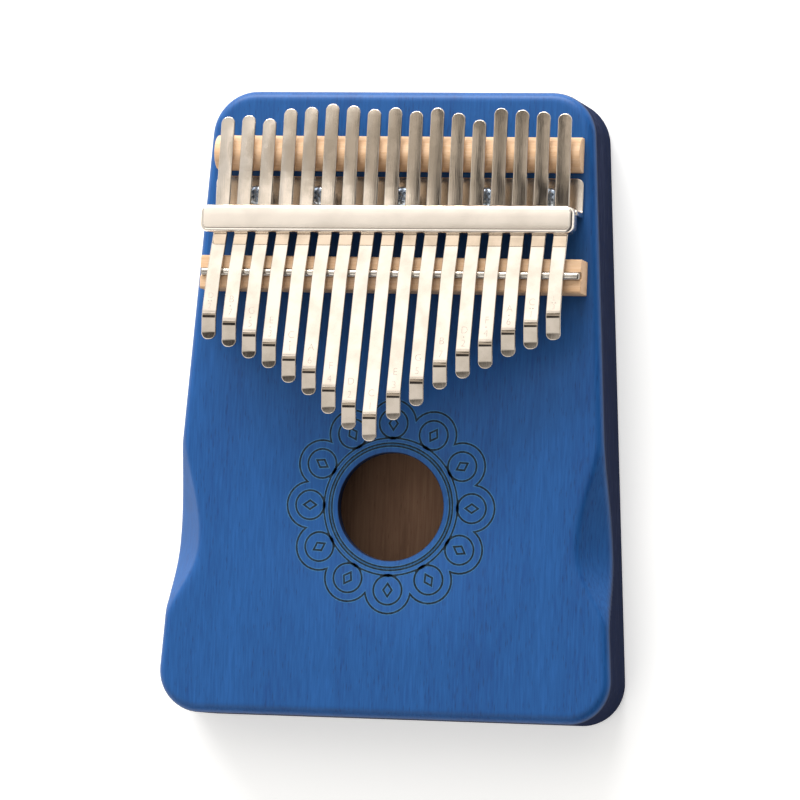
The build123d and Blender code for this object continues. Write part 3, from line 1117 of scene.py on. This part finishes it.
@dataclass
class Bridges:
    """Two beech bridges across the face, and the steel rod let into the front one."""

    rod_radius: float = 1.25 * MM
    front_edge: float = 0.8 * MM
    rear_wall: float = 1.8 * MM
    end_edge: float = 0.3 * MM
    slack: float = 0.02 * MM
    length_steps: int = 24

    def raise_bridge(
        self, name: str, node: str, profile: Sequence[Vector], material: bpy.types.Material
    ) -> None:
        """Draw a bridge out of its end profile and seat it.

        Args:
            name: Name of the piece.
            node: CAD node that gives its length and that it stands for.
            profile: Points (y, z) round its section, in order.
            material: Finish of the wood.
        """
        low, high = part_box(node)
        bm = bmesh.new()
        rings = [[Vector((x, p.x, p.y)) for p in profile] for x in (low.x, high.x)]
        first, last = loft(bm, rings)
        for loop in (first, last):
            bmesh.ops.contextual_create(bm, geom=loop)
        ends = edges_where(
            bm, lambda a, b: abs(a.x - b.x) < 1e-7 and max(a.z, b.z) > low.z + 1e-5
        )
        bevel_edges(bm, ends, self.end_edge, 3)
        steps = self.length_steps
        stops = [low.x + (high.x - low.x) * step / steps for step in range(1, steps)]
        cut_across(bm, Vector((1, 0, 0)), stops)
        piece = make_object(bm, name, (material,))
        keep_flats_flat(piece)
        seat(piece, "box", "bridge_wood", node)

    def front_profile(self) -> list[Vector]:
        """Section of the front bridge: rounded edges and a half-round groove for the rod."""
        low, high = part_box("front_bridge")
        rod_low, rod_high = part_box("front_rod")
        middle = (rod_low.y + rod_high.y) / 2
        axis = (rod_low.z + rod_high.z) / 2
        edge = self.front_edge
        groove = self.rod_radius + self.slack
        return [
            Vector((low.y, low.z)),
            *arc_points((low.y + edge, high.z - edge), edge, 180, 90, 6),
            *arc_points((middle, axis), groove, 180, 360, 14),
            *arc_points((high.y - edge, high.z - 1.35 * edge), edge, 76, 0, 6),
            Vector((high.y, low.z)),
        ]

    def rear_profile(self) -> list[Vector]:
        """Section of the rear bridge: low walls under one round top."""
        low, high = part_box("rear_bridge")
        half = (high.y - low.y) / 2
        rise = high.z - low.z - self.rear_wall
        radius = (half * half + rise * rise) / (2 * rise)
        middle = (low.y + high.y) / 2
        reach = math.degrees(math.asin(half / radius))
        return [
            Vector((low.y, low.z)),
            *arc_points((middle, high.z - radius), radius, 90 + reach, 90 - reach, 28),
            Vector((high.y, low.z)),
        ]

    def build_rod(self, material: bpy.types.Material) -> None:
        """The steel rod, with its ends turned round."""
        low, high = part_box("front_rod")
        bm = bmesh.new()
        bmesh.ops.create_cone(
            bm, cap_ends=True, segments=40, radius1=self.rod_radius,
            radius2=self.rod_radius, depth=high.x - low.x,
        )
        ends = edges_where(bm, lambda a, b: abs(a.z - b.z) < 1e-9)
        bevel_edges(bm, ends, 0.55 * self.rod_radius, 5)
        turn = Matrix.Rotation(math.radians(90), 4, "Y")
        place = Matrix.Translation((low + high) / 2)
        bmesh.ops.transform(bm, matrix=place @ turn, verts=bm.verts)
        rod = make_object(bm, "bridge_rod", (material,), 45.0)
        seat(rod, "box", "rod_steel", "front_rod")

    def build(self, finishes: dict[str, bpy.types.Material]) -> None:
        """Build and seat both bridges and the rod."""
        beech = finishes["beech"]
        self.raise_bridge("front_bridge_beech", "front_bridge", self.front_profile(), beech)
        self.raise_bridge("rear_bridge_beech", "rear_bridge", self.rear_profile(), beech)
        self.build_rod(finishes["drawn_rod"])


# ---------------------------------------------------------------- clamp


@dataclass
class Clamp:
    """What holds the tines down: a slotted bracket, a polished bar and five screws."""

    tine_places: Sequence[float]
    plate_thickness: float = 1.2 * MM
    web_thickness: float = 1.4 * MM
    bend_radius: float = 1.6 * MM
    bend_inner_radius: float = 0.9 * MM
    plate_corner: float = 2.0 * MM
    sheet_edge: float = 0.22 * MM
    slot_width: float = 4.55 * MM
    slot_floor: float = 5.8 * MM
    bar_end_radius: float = 2.3 * MM
    bar_top_radius: float = 1.3 * MM
    bar_lip_radius: float = 0.7 * MM
    bar_crown: float = 0.06 * MM
    bar_lean: float = 0.06
    bar_shift: float = -0.7 * MM
    bar_turn: float = 0.3
    screw_head_radius: float = 2.9 * MM
    screw_head_height: float = 2.0 * MM
    screw_dome: float = 1.4 * MM
    screw_shank_radius: float = 1.5 * MM
    screw_core_radius: float = 1.15 * MM
    screw_hole_radius: float = 1.7 * MM
    thread_pitch: float = 1.25 * MM
    tip_length: float = 2.2 * MM
    recess_length: float = 3.4 * MM
    recess_width: float = 0.8 * MM
    recess_depth: float = 1.2 * MM
    recess_turn: float = 45.0

    def screw_places(self) -> list[Vector]:
        """Middles of the screws' heads, on the plate, from the CAD screws."""
        low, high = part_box("bracket_screws")
        y = (low.y + high.y) / 2
        node = frame["nodes"]["bracket_screws"]
        xs = sorted(vert.co.x for vert in node.data.vertices)
        groups = [[xs[0]]]
        for x in xs[1:]:
            if x - groups[-1][-1] > 4 * MM:
                groups.append([])
            groups[-1].append(x)
        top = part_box("bracket")[0].z + self.plate_thickness
        return [Vector(((group[0] + group[-1]) / 2, y, top)) for group in groups]

    def build_bracket(self, material: bpy.types.Material) -> None:
        """Plate and web bent from one sheet, slotted for the tines."""
        low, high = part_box("bracket")
        outer = self.bend_radius
        inner = self.bend_inner_radius
        plate_top = low.z + self.plate_thickness
        web_rear = low.y + self.web_thickness
        profile = [
            *arc_points((low.y + outer, low.z + outer), outer, 270, 180, 8),
            Vector((low.y, high.z)),
            Vector((web_rear, high.z)),
            *arc_points((web_rear + inner, plate_top + inner), inner, 180, 270, 8),
            Vector((high.y, plate_top)),
            Vector((high.y, low.z)),
        ]
        bm = bmesh.new()
        rings = [[Vector((x, p.x, p.y)) for p in profile] for x in (low.x, high.x)]
        first, last = loft(bm, rings)
        for loop in (first, last):
            bmesh.ops.contextual_create(bm, geom=loop)
        corners = edges_where(
            bm,
            lambda a, b: abs(a.x - b.x) < 1e-7 and abs(a.y - b.y) < 1e-7
            and a.y > high.y - 1e-6,
        )
        bevel_edges(bm, corners, self.plate_corner, 6)
        bracket = make_object(bm, "clamp_bracket", (material,))
        carve(bracket, self.bracket_cutter(low, high))
        bracket.data.polygons.foreach_set("use_smooth", [True] * len(bracket.data.polygons))
        rounding = bracket.modifiers.new("broken_edges", "BEVEL")
        rounding.width = self.sheet_edge
        rounding.segments = 2
        rounding.limit_method = "ANGLE"
        rounding.angle_limit = math.radians(40)
        rounding.harden_normals = True
        seat(bracket, "box", "bracket_plating", "bracket")

    def bracket_cutter(self, low: Vector, high: Vector) -> bpy.types.Object:
        """One mesh that holds the slots and the screw holes."""
        bm = bmesh.new()
        floor = low.z + self.slot_floor
        for x in self.tine_places:
            size = Vector((self.slot_width, 8 * self.web_thickness, 10 * MM))
            centre = Vector((x, low.y, floor + size.z / 2))
            matrix = Matrix.Translation(centre) @ Matrix.Diagonal(size.to_4d())
            bmesh.ops.create_cube(bm, size=1.0, matrix=matrix)
        for place in self.screw_places():
            bmesh.ops.create_cone(
                bm, cap_ends=True, segments=32, radius1=self.screw_hole_radius,
                radius2=self.screw_hole_radius, depth=4 * self.plate_thickness,
                matrix=Matrix.Translation(place),
            )
        return make_object(bm, "bracket_cutter")

    def build_bar(self, material: bpy.types.Material) -> None:
        """The polished bar: rounded ends, a crowned top and a small lip underneath."""
        low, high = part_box("pressure_bar")
        size = high - low
        bm = bmesh.new()
        matrix = Matrix.Translation((low + high) / 2) @ Matrix.Diagonal(size.to_4d())
        bmesh.ops.create_cube(bm, size=1.0, matrix=matrix)
        uprights = edges_where(bm, lambda a, b: abs(a.z - b.z) > 1e-6)
        bevel_edges(bm, uprights, self.bar_end_radius, 10)
        top = edges_where(bm, lambda a, b: min(a.z, b.z) > high.z - 1e-7)
        bevel_edges(bm, top, self.bar_top_radius, 10)
        under = edges_where(bm, lambda a, b: max(a.z, b.z) < low.z + 1e-7)
        bevel_edges(bm, under, self.bar_lip_radius, 4)
        middle = (low.y + high.y) / 2
        cut_across(bm, Vector((0, 1, 0)), [middle + share * MM for share in (-0.8, 0, 0.8)])
        stops = [low.x + size.x * share / 30 for share in range(1, 30)]
        cut_across(bm, Vector((1, 0, 0)), stops)
        half = size.y / 2
        for vert in bm.verts:
            if vert.co.z > high.z - self.bar_top_radius:
                reach = min(1.0, abs(vert.co.y - middle) / half)
                vert.co.z += self.bar_crown * (1 - reach * reach)
                vert.co.z -= self.bar_lean * (vert.co.y - middle)
        centre = Matrix.Translation((low + high) / 2)
        turn = centre @ Matrix.Rotation(math.radians(self.bar_turn), 4, "Z")
        shift = Matrix.Translation((self.bar_shift, 0, 0))
        bmesh.ops.transform(bm, matrix=shift @ turn @ centre.inverted(), verts=bm.verts)
        bar = make_object(bm, "clamp_bar", (material,), 50.0)
        seat(bar, "box", "bracket_plating", "pressure_bar")

    def build_screw(self, number: int, place: Vector, material: bpy.types.Material) -> (
        bpy.types.Object
    ):
        """One pan-head wood screw with a cross recess and a cut thread.

        Args:
            number: Number of the screw, from 1.
            place: Middle of the underside of its head.
            material: Finish of the screw.

        Returns:
            The screw.
        """
        dome = self.screw_dome
        wall = self.screw_head_height - dome
        low_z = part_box("bracket_screws")[0].z
        core_end = low_z + self.tip_length - place.z
        outline = [
            Vector((0, self.screw_head_height)),
            *[
                Vector((self.screw_head_radius * math.sin(turn), wall + dome * math.cos(turn)))
                for turn in (math.radians(90 * step / 8) for step in range(1, 9))
            ],
            Vector((self.screw_head_radius, 0)),
            Vector((self.screw_shank_radius, 0)),
        ]
        depth = -0.3 * MM
        while depth - self.thread_pitch > core_end:
            outline.append(Vector((self.screw_core_radius, depth)))
            outline.append(Vector((self.screw_shank_radius, depth - 0.5 * self.thread_pitch)))
            depth -= self.thread_pitch
        outline += [
            Vector((self.screw_core_radius, core_end)), Vector((0, low_z - place.z)),
        ]
        bm = bmesh.new()
        verts = [bm.verts.new((p.x, 0, p.y)) for p in outline]
        line = [bm.edges.new(pair) for pair in zip(verts, verts[1:])]
        bmesh.ops.spin(
            bm, geom=[*verts, *line], cent=(0, 0, 0), axis=(0, 0, 1),
            angle=math.tau, steps=32, use_merge=True, use_duplicate=False,
        )
        bmesh.ops.transform(bm, matrix=Matrix.Translation(place), verts=bm.verts)
        screw = make_object(bm, f"clamp_screw_{number}", (material,))
        carve(screw, self.recess_cutter(place))
        screw.data.set_sharp_from_angle(angle=math.radians(40))
        return screw

    def recess_cutter(self, place: Vector) -> bpy.types.Object:
        """A cross that narrows downwards."""
        top = place.z + self.screw_head_height
        rings = []
        for height, narrowing in ((self.recess_depth, 1.3), (-self.recess_depth, 0.6)):
            reach = self.recess_length / 2 * narrowing
            half = self.recess_width / 2
            arm = [Vector((reach, -half, 0)), Vector((reach, half, 0)), Vector((half, half, 0))]
            ring = []
            for quarter in range(4):
                turn = Matrix.Rotation(math.radians(self.recess_turn + 90 * quarter), 3, "Z")
                ring += [turn @ point + Vector((place.x, place.y, top + height)) for point in arm]
            rings.append(ring)
        bm = bmesh.new()
        first, last = loft(bm, rings)
        for loop in (first, last):
            bmesh.ops.contextual_create(bm, geom=loop)
        return make_object(bm, "recess_cutter")

    def build(self, finishes: dict[str, bpy.types.Material]) -> None:
        """Build and seat the bracket, the bar and the screws."""
        self.build_bracket(finishes["nickel_bar"])
        self.build_bar(finishes["nickel_bar"])
        for number, place in enumerate(self.screw_places(), start=1):
            screw = self.build_screw(number, place, finishes["zinc"])
            seat(screw, "box", "screw_plating", *(["bracket_screws"] if number == 1 else []))


# ---------------------------------------------------------------- tines


class Octave(Enum):
    """How many dots a note mark carries."""

    FOURTH = 0
    FIFTH = 1
    SIXTH = 2


@dataclass
class BendPath:
    """A line of straight runs, each corner eased by an arc, as heights over Y."""

    points: Sequence[tuple[float, float]]
    radii: Sequence[float]

    def height(self, y: float) -> float:
        """Height of the line at a place.

        Args:
            y: Place along Y; the points run from high Y to low Y.

        Returns:
            The height.
        """
        runs = list(zip(self.points, self.points[1:]))
        slopes = [(b[1] - a[1]) / (b[0] - a[0]) for a, b in runs]
        for number, (start, end) in enumerate(runs):
            if y >= end[0] or number + 1 == len(runs):
                base = start[1] + slopes[number] * (y - start[0])
                break
        for corner, radius in zip(range(1, len(self.points) - 1), self.radii):
            turn = slopes[corner] - slopes[corner - 1]
            reach = abs(turn) * radius / 2
            gap = reach - abs(y - self.points[corner][0])
            if gap > 0:
                base -= turn / (4 * reach) * gap * gap
        return base


@dataclass
class TineRow:
    """Seventeen strips of spring steel, each one piece from tail to tip."""

    thickness: float = 1.0 * MM
    rear_width: float = 4.15 * MM
    tip_width: float = 4.4 * MM
    tip_corner: float = 1.95 * MM
    rim: float = 0.26 * MM
    under_rim: float = 0.12 * MM
    clamp_height: float = 6.1 * MM
    clamp_rest: float = 0.03 * MM
    press_setback: float = -0.3 * MM
    rise_slope: float = 0.16
    tip_length: float = 7.4 * MM
    tip_slope: float = 0.19
    bend_radius: float = 7.0 * MM
    crease_radius: float = 9.0 * MM
    tip_crown: float = 0.13 * MM
    long_step: float = 2.4 * MM
    fine_step: float = 0.45 * MM
    count: int = 17
    middle_skew: float = 1.2
    skew_spread: float = 0.85
    scale_letters: str = "CDEFGAB"
    mark_size: float = 3.0 * MM
    mark_gap: float = 3.9 * MM
    mark_from_crease: float = 0.8 * MM
    mark_end_room: float = 1.2 * MM
    dot_radius: float = 0.22 * MM
    dot_spacing: float = 0.9 * MM
    mark_proud: float = 0.012 * MM

    def nodes(self, number: int) -> tuple[str, str]:
        """CAD nodes of one tine, numbered from 1 on the left."""
        return f"tine_{number:02d}_shank", f"tine_{number:02d}_reed"

    def places(self) -> list[float]:
        """Middles of the tines along X, from the frame."""
        middles = []
        for number in range(1, self.count + 1):
            low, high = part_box(self.nodes(number)[0])
            middles.append((low.x + high.x) / 2)
        return middles

    def skewed(self, number: int, y: float) -> float:
        """How far a tine's middle line stands to the right at a place.

        Args:
            number: Number of the tine; those on the left lean most.
            y: Place along Y, counted forward from the tail.

        Returns:
            The offset along X.
        """
        half = (self.count - 1) / 2
        lean = self.middle_skew - self.skew_spread * (number - 1 - half) / half
        tail_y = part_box(self.nodes(number)[0])[1].y
        return (y - tail_y) * math.tan(math.radians(lean))

    def slots(self) -> list[float]:
        """Where the tines cross the bracket's web, along X."""
        web_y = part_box("bracket")[0].y
        return [
            x + self.skewed(number, web_y) for number, x in enumerate(self.places(), start=1)
        ]

    def bend_path(self, number: int) -> BendPath:
        """Underside of one tine: over the rear bridge, under the bar, over the rod, down.

        Args:
            number: Number of the tine.

        Returns:
            Its line.
        """
        shank, reed = self.nodes(number)
        tail_y, tip_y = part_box(shank)[1].y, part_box(reed)[0].y
        face_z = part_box("rear_bridge")[0].z
        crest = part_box("rear_bridge")
        crest_y, crest_z = (crest[0].y + crest[1].y) / 2, crest[1].z + self.clamp_rest
        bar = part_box("pressure_bar")
        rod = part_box("front_rod")
        rod_y = (rod[0].y + rod[1].y) / 2
        clamp_z = face_z + self.clamp_height
        press_y = bar[0].y - self.press_setback
        rise = math.atan2(rod[1].z - clamp_z, press_y - rod_y)
        radius = (rod[1].z - rod[0].z) / 2
        over_rod = rod[0].z + radius + (radius + self.clamp_rest) / math.cos(rise)
        sag_y = (crest_y + bar[1].y) / 2
        rear_slope = (crest_z - clamp_z) / (crest_y - sag_y)
        crease_y = tip_y + self.tip_length
        crease_z = over_rod + self.rise_slope * (rod_y - crease_y)
        points = [
            (tail_y, crest_z + rear_slope * (tail_y - crest_y)),
            (sag_y, clamp_z),
            (press_y, clamp_z),
            (rod_y, over_rod),
            (crease_y, crease_z),
            (tip_y, crease_z - self.tip_slope * self.tip_length),
        ]
        sag = (crest_y - bar[1].y) / rear_slope
        soft = self.bend_radius
        return BendPath(points, (sag, soft, soft, self.crease_radius))

    def stations(self, path: BendPath) -> list[float]:
        """Places along Y where the strip gets a line of vertices, close at its bends."""
        first, last = path.points[0][0], path.points[-1][0]
        steps = math.ceil((first - last) / self.long_step)
        places = {first + (last - first) * step / steps for step in range(1, steps)}
        for y, _ in path.points[1:-1]:
            places |= {y + self.fine_step * step for step in range(-5, 6)}
        return sorted(places)

    def build_strip(self, number: int, x: float, path: BendPath) -> bmesh.types.BMesh:
        """Cut, round, rim and bend one strip.

        Args:
            number: Number of the tine.
            x: Middle of the tine.
            path: Line of its underside.

        Returns:
            The mesh of the strip.
        """
        tail_y, tip_y = path.points[0][0], path.points[-1][0]
        bm = bmesh.new()
        size = Vector((1.0, tail_y - tip_y, self.thickness))
        centre = Vector((0, (tail_y + tip_y) / 2, self.thickness / 2))
        matrix = Matrix.Translation(centre) @ Matrix.Diagonal(size.to_4d())
        bmesh.ops.create_cube(bm, size=1.0, matrix=matrix)
        for vert in bm.verts:
            width = self.rear_width if vert.co.y > centre.y else self.tip_width
            vert.co.x = math.copysign(width / 2, vert.co.x)
        for end, radius in ((1, 0.96 * self.rear_width / 2), (-1, self.tip_corner)):
            uprights = edges_where(
                bm,
                lambda a, b, end=end: abs(a.z - b.z) > 1e-6 and (a.y - centre.y) * end > 0,
            )
            bevel_edges(bm, uprights, radius, 9)
        top = edges_where(bm, lambda a, b: min(a.z, b.z) > self.thickness - 1e-7)
        bevel_edges(bm, top, self.rim, 3)
        under = edges_where(bm, lambda a, b: max(a.z, b.z) < 1e-7)
        bevel_edges(bm, under, self.under_rim, 1)
        cut_across(bm, Vector((0, 1, 0)), self.stations(path))
        for vert in bm.verts:
            bent = smooth_step(0.0, 0.5, (path.points[4][0] - vert.co.y) / self.tip_length)
            across = vert.co.x / (self.tip_width / 2)
            vert.co.z -= self.tip_crown * bent * across * across
            vert.co.x += x + self.skewed(number, vert.co.y)
            vert.co.z += path.height(vert.co.y)
        return bm

    def build_tine(self, number: int, x: float, finishes: dict[str, bpy.types.Material]) -> None:
        """Build one tine, bend it across its joint and mark its note.

        Args:
            number: Number of the tine, from 1 on the left.
            x: Middle of the tine.
            finishes: Materials by name.
        """
        path = self.bend_path(number)
        bm = self.build_strip(number, x, path)
        tine = make_object(bm, f"tine_{number:02d}", (finishes["nickel_tine"],), 60.0)
        keep_flats_flat(tine)
        shank, reed = self.nodes(number)
        joint = next(j for j in frame["joints"] if j["child"] == f"reed_{number:02d}")
        pivot = Vector(joint["pos_m"])
        reach = 0.8 * (path.points[3][0] - pivot.y)
        ahead = Vector((0, reach, 0))
        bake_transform(tine, "box", joint["child"], start=pivot + ahead, end=pivot - ahead)
        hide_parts(shank, reed)
        LOG.info("%s bends from box to %s", tine.name, joint["child"])
        self.build_mark(number, x, path, pivot.y - reach, finishes["etched"])

    def note(self, number: int) -> tuple[str, str, Octave]:
        """Letter, scale degree and octave of a tine; notes go left and right by turns."""
        from_middle = number - (self.count + 1) // 2
        step = 2 * from_middle if from_middle > 0 else -2 * from_middle - 1
        step = 0 if from_middle == 0 else step
        octave, degree = divmod(step, len(self.scale_letters))
        return self.scale_letters[degree], str(degree + 1), Octave(octave)

    def build_mark(
        self, number: int, x: float, path: BendPath, free_y: float,
        material: bpy.types.Material,
    ) -> None:
        """A faint note letter, its number in the scale and its octave dots.

        Args:
            number: Number of the tine.
            x: Middle of the tine.
            path: Line of its underside.
            free_y: Place behind which the strip bends.
            material: Finish of the marks.
        """
        letter, degree, octave = self.note(number)
        crease_y = path.points[4][0]
        room = free_y - crease_y - self.mark_end_room
        gap = min(self.mark_gap, room / 2)
        size = min(self.mark_size, 0.8 * gap)
        bm = bmesh.new()
        for row, text in enumerate((degree, letter)):
            y = crease_y + self.mark_from_crease + gap * (row + 0.5)
            centre = Vector((x + self.skewed(number, y), y, 0))
            self.stamp(bm, text, size, centre)
        middle = x + self.skewed(number, crease_y)
        for dot in range(octave.value):
            aside = (dot - (octave.value - 1) / 2) * self.dot_spacing
            place = (middle + aside, crease_y + self.mark_from_crease + gap, 0)
            bmesh.ops.create_circle(
                bm, cap_ends=True, segments=12, radius=self.dot_radius,
                matrix=Matrix.Translation(place),
            )
        bmesh.ops.triangulate(bm, faces=bm.faces)
        for vert in bm.verts:
            height = path.height(vert.co.y) + self.thickness
            vert.co.z = height + self.mark_proud
        mark = make_object(bm, f"note_mark_{number:02d}", (material,))
        seat(mark, f"reed_{number:02d}", "tine_steel")

    @staticmethod
    def stamp(bm: bmesh.types.BMesh, text: str, size: float, centre: Vector) -> None:
        """Add one character to a mesh, flat, read from the tips of the tines."""
        curve = bpy.data.curves.new("stamp", "FONT")
        curve.body = text
        curve.size = size
        curve.align_x = "CENTER"
        curve.align_y = "CENTER"
        curve.offset = -0.02 * size
        holder = bpy.data.objects.new("stamp", curve)
        bpy.context.scene.collection.objects.link(holder)
        graph = bpy.context.evaluated_depsgraph_get()
        mesh = bpy.data.meshes.new_from_object(holder.evaluated_get(graph))
        mesh.transform(Matrix.Translation(centre))
        bm.from_mesh(mesh)
        bpy.data.objects.remove(holder)
        bpy.data.curves.remove(curve)
        bpy.data.meshes.remove(mesh)

    def build(self, finishes: dict[str, bpy.types.Material]) -> None:
        """Build all the tines."""
        for number, x in enumerate(self.places(), start=1):
            self.build_tine(number, x, finishes)


# ---------------------------------------------------------------- studio


@dataclass
class Studio:
    """A pale lit floor, soft lights above, behind and in front, and the camera."""

    camera_place: tuple[float, float, float] = (388.59, -108.72, 1518.18)
    camera_turn: tuple[float, float, float] = (4.6198, 14.3246, 2.2124)
    lens_mm: float = 236.85
    sensor_mm: float = 36.0
    floor_size: float = 6.0
    floor_colour: str = "#f6f6f5"
    sky_colour: str = "#e9e7e4"
    zenith_colour: str = "#c6beb3"
    shade_colour: str = "#4a4a50"
    smear_colour: str = "#3a3838"
    sky_strength: float = 1.0
    shade_heading: tuple[float, float, float] = (0.85, -0.45, -0.25)
    zenith_heading: tuple[float, float, float] = (-0.25, 0.05, 0.967)
    patch_heading: tuple[float, float, float] = (-0.27, -0.14, 0.953)
    smear_scale: float = 24.0
    aim: tuple[float, float, float] = (0.0, 0.06, 0.03)
    top_place: tuple[float, float, float] = (-0.250, 0.634, 1.108)
    top_size: tuple[float, float] = (1.0, 0.85)
    top_radiance: float = 0.72
    rear_place: tuple[float, float, float] = (-0.30, 1.22, 0.52)
    rear_size: tuple[float, float] = (1.4, 0.5)
    rear_radiance: float = 13.0
    front_place: tuple[float, float, float] = (-0.325, -0.775, 0.97)
    front_size: tuple[float, float] = (0.9, 0.5)
    front_radiance: float = 0.9
    floor_glow: float = 0.4
    lamp_colour: str = "#ffffff"

    def build_camera(self) -> None:
        """A long lens above the front right of the object."""
        data = bpy.data.cameras.new("camera")
        data.lens = self.lens_mm
        data.sensor_width = self.sensor_mm
        camera = bpy.data.objects.new("camera", data)
        camera.location = Vector(self.camera_place) * MM
        camera.rotation_euler = [math.radians(turn) for turn in self.camera_turn]
        bpy.context.scene.collection.objects.link(camera)
        bpy.context.scene.camera = camera

    def build_floor(self) -> None:
        """A pale, matt floor under the box, lit a little from below like a light table."""
        bm = bmesh.new()
        bmesh.ops.create_grid(bm, x_segments=4, y_segments=4, size=self.floor_size / 2)
        material = bpy.data.materials.new("pale_matt_paper")
        material.use_nodes = True
        tree = material.node_tree
        shader = tree.nodes["Principled BSDF"]
        fibres = add_node(tree, "ShaderNodeTexNoise", {
            "Vector": stretched_coordinates(tree, Grain.ALONG_Y, 2.0, 2.0), "Scale": 1.0,
        })
        bump = add_node(tree, "ShaderNodeBump", {
            "Strength": 0.1, "Distance": 0.05 * MM, "Height": fibres.outputs["Fac"],
        })
        tree.links.new(bump.outputs[0], shader.inputs["Normal"])
        shader.inputs["Base Color"].default_value = linear(self.floor_colour)
        shader.inputs["Roughness"].default_value = 0.9
        shader.inputs["Specular IOR Level"].default_value = 0.2
        shader.inputs["Emission Color"].default_value = linear(self.floor_colour)
        shader.inputs["Emission Strength"].default_value = self.floor_glow
        floor = make_object(bm, "floor", (material,), recalculate=False)
        floor.data.transform(Matrix.Translation((0, 0, cad_bounds[0].z - 0.05 * MM)))

    def build_lamp(
        self, name: str, place: Sequence[float], size: Sequence[float], radiance: float
    ) -> None:
        """A rectangular soft light that faces the object.

        Args:
            name: Name of the light.
            place: Where it stands, in metres.
            size: Its width and height, in metres.
            radiance: How bright its surface looks.
        """
        data = bpy.data.lights.new(name, "AREA")
        data.shape = "RECTANGLE"
        data.size, data.size_y = size
        data.energy = radiance * math.pi * size[0] * size[1]
        data.color = linear(self.lamp_colour)[:3]
        lamp = bpy.data.objects.new(name, data)
        lamp.location = place
        aim = Vector(self.aim) - Vector(place)
        lamp.rotation_euler = aim.to_track_quat("-Z", "Y").to_euler()
        lamp.visible_camera = False
        bpy.context.scene.collection.objects.link(lamp)

    def build_sky(self) -> None:
        """A pale warm room, darker low on the right, with dark smears high above."""
        world = bpy.data.worlds.new("studio")
        world.use_nodes = True
        tree = world.node_tree
        background = tree.nodes["Background"]
        heading = add_node(tree, "ShaderNodeTexCoord").outputs["Generated"]
        lean = add_node(tree, "ShaderNodeVectorMath", {
            0: heading, 1: self.shade_heading,
        }, operation="DOT_PRODUCT")
        shade = add_node(tree, "ShaderNodeMapRange", {
            "Value": lean.outputs["Value"], "From Min": -0.2, "From Max": 0.6,
        }, interpolation_type="SMOOTHSTEP")
        above = add_node(tree, "ShaderNodeVectorMath", {
            0: heading, 1: self.zenith_heading,
        }, operation="DOT_PRODUCT")
        dome = add_node(tree, "ShaderNodeMapRange", {
            "Value": above.outputs["Value"], "From Min": 0.955, "From Max": 0.985,
        }, interpolation_type="SMOOTHSTEP")
        walls = add_node(tree, "ShaderNodeMix", {
            0: dome.outputs[0], 6: linear(self.sky_colour), 7: linear(self.zenith_colour),
        }, data_type="RGBA")
        room = add_node(tree, "ShaderNodeMix", {
            0: shade.outputs[0], 6: walls.outputs[2], 7: linear(self.shade_colour),
        }, data_type="RGBA")
        cloud = add_node(tree, "ShaderNodeTexNoise", {
            "Vector": heading, "Scale": self.smear_scale, "Detail": 2.0, "Distortion": 0.8,
        })
        smear = add_node(tree, "ShaderNodeMapRange", {
            "Value": cloud.outputs["Fac"], "From Min": 0.49, "From Max": 0.56,
        }, interpolation_type="SMOOTHSTEP")
        parts = add_node(tree, "ShaderNodeSeparateXYZ", {"Vector": heading})
        rim = add_node(tree, "ShaderNodeMapRange", {
            "Value": parts.outputs["Y"], "From Min": 0.0, "From Max": 0.09,
        }, interpolation_type="SMOOTHSTEP")
        patch = add_node(
            tree, "ShaderNodeMath", {0: smear.outputs[0], 1: rim.outputs[0]},
            operation="MULTIPLY",
        )
        share = add_node(
            tree, "ShaderNodeMath", {0: patch.outputs[0], 1: dome.outputs[0]},
            operation="MULTIPLY",
        )
        smeared = add_node(tree, "ShaderNodeMix", {
            0: share.outputs[0], 6: room.outputs[2], 7: linear(self.smear_colour),
        }, data_type="RGBA")
        toward_patch = add_node(tree, "ShaderNodeVectorMath", {
            0: heading, 1: self.patch_heading,
        }, operation="DOT_PRODUCT")
        dark_patch = add_node(tree, "ShaderNodeMapRange", {
            "Value": toward_patch.outputs["Value"], "From Min": 0.9940, "From Max": 0.9975,
        }, interpolation_type="SMOOTHSTEP")
        sky = add_node(tree, "ShaderNodeMix", {
            0: dark_patch.outputs[0], 6: smeared.outputs[2], 7: linear(self.smear_colour),
        }, data_type="RGBA")
        tree.links.new(sky.outputs[2], background.inputs["Color"])
        background.inputs["Strength"].default_value = self.sky_strength
        bpy.context.scene.world = world

    def build(self) -> None:
        """Set up everything that isn't part of the object."""
        bpy.context.scene.view_settings.view_transform = "Standard"
        self.build_camera()
        self.build_floor()
        self.build_lamp("top_light", self.top_place, self.top_size, self.top_radiance)
        self.build_lamp("rear_light", self.rear_place, self.rear_size, self.rear_radiance)
        self.build_lamp("front_light", self.front_place, self.front_size, self.front_radiance)
        self.build_sky()


def main() -> None:
    """Build the studio and the object, piece by piece."""
    logging.basicConfig(level=logging.INFO, format="%(name)s: %(message)s")
    Studio().build()
    finishes = Workshop().build()
    box = WoodenBox()
    box.build(finishes)
    Rosette(box.hole_centre, box.face_z).build(finishes)
    Bridges().build(finishes)
    tines = TineRow()
    Clamp(tines.slots()).build(finishes)
    tines.build(finishes)


if __name__ == "__main__":
    main()
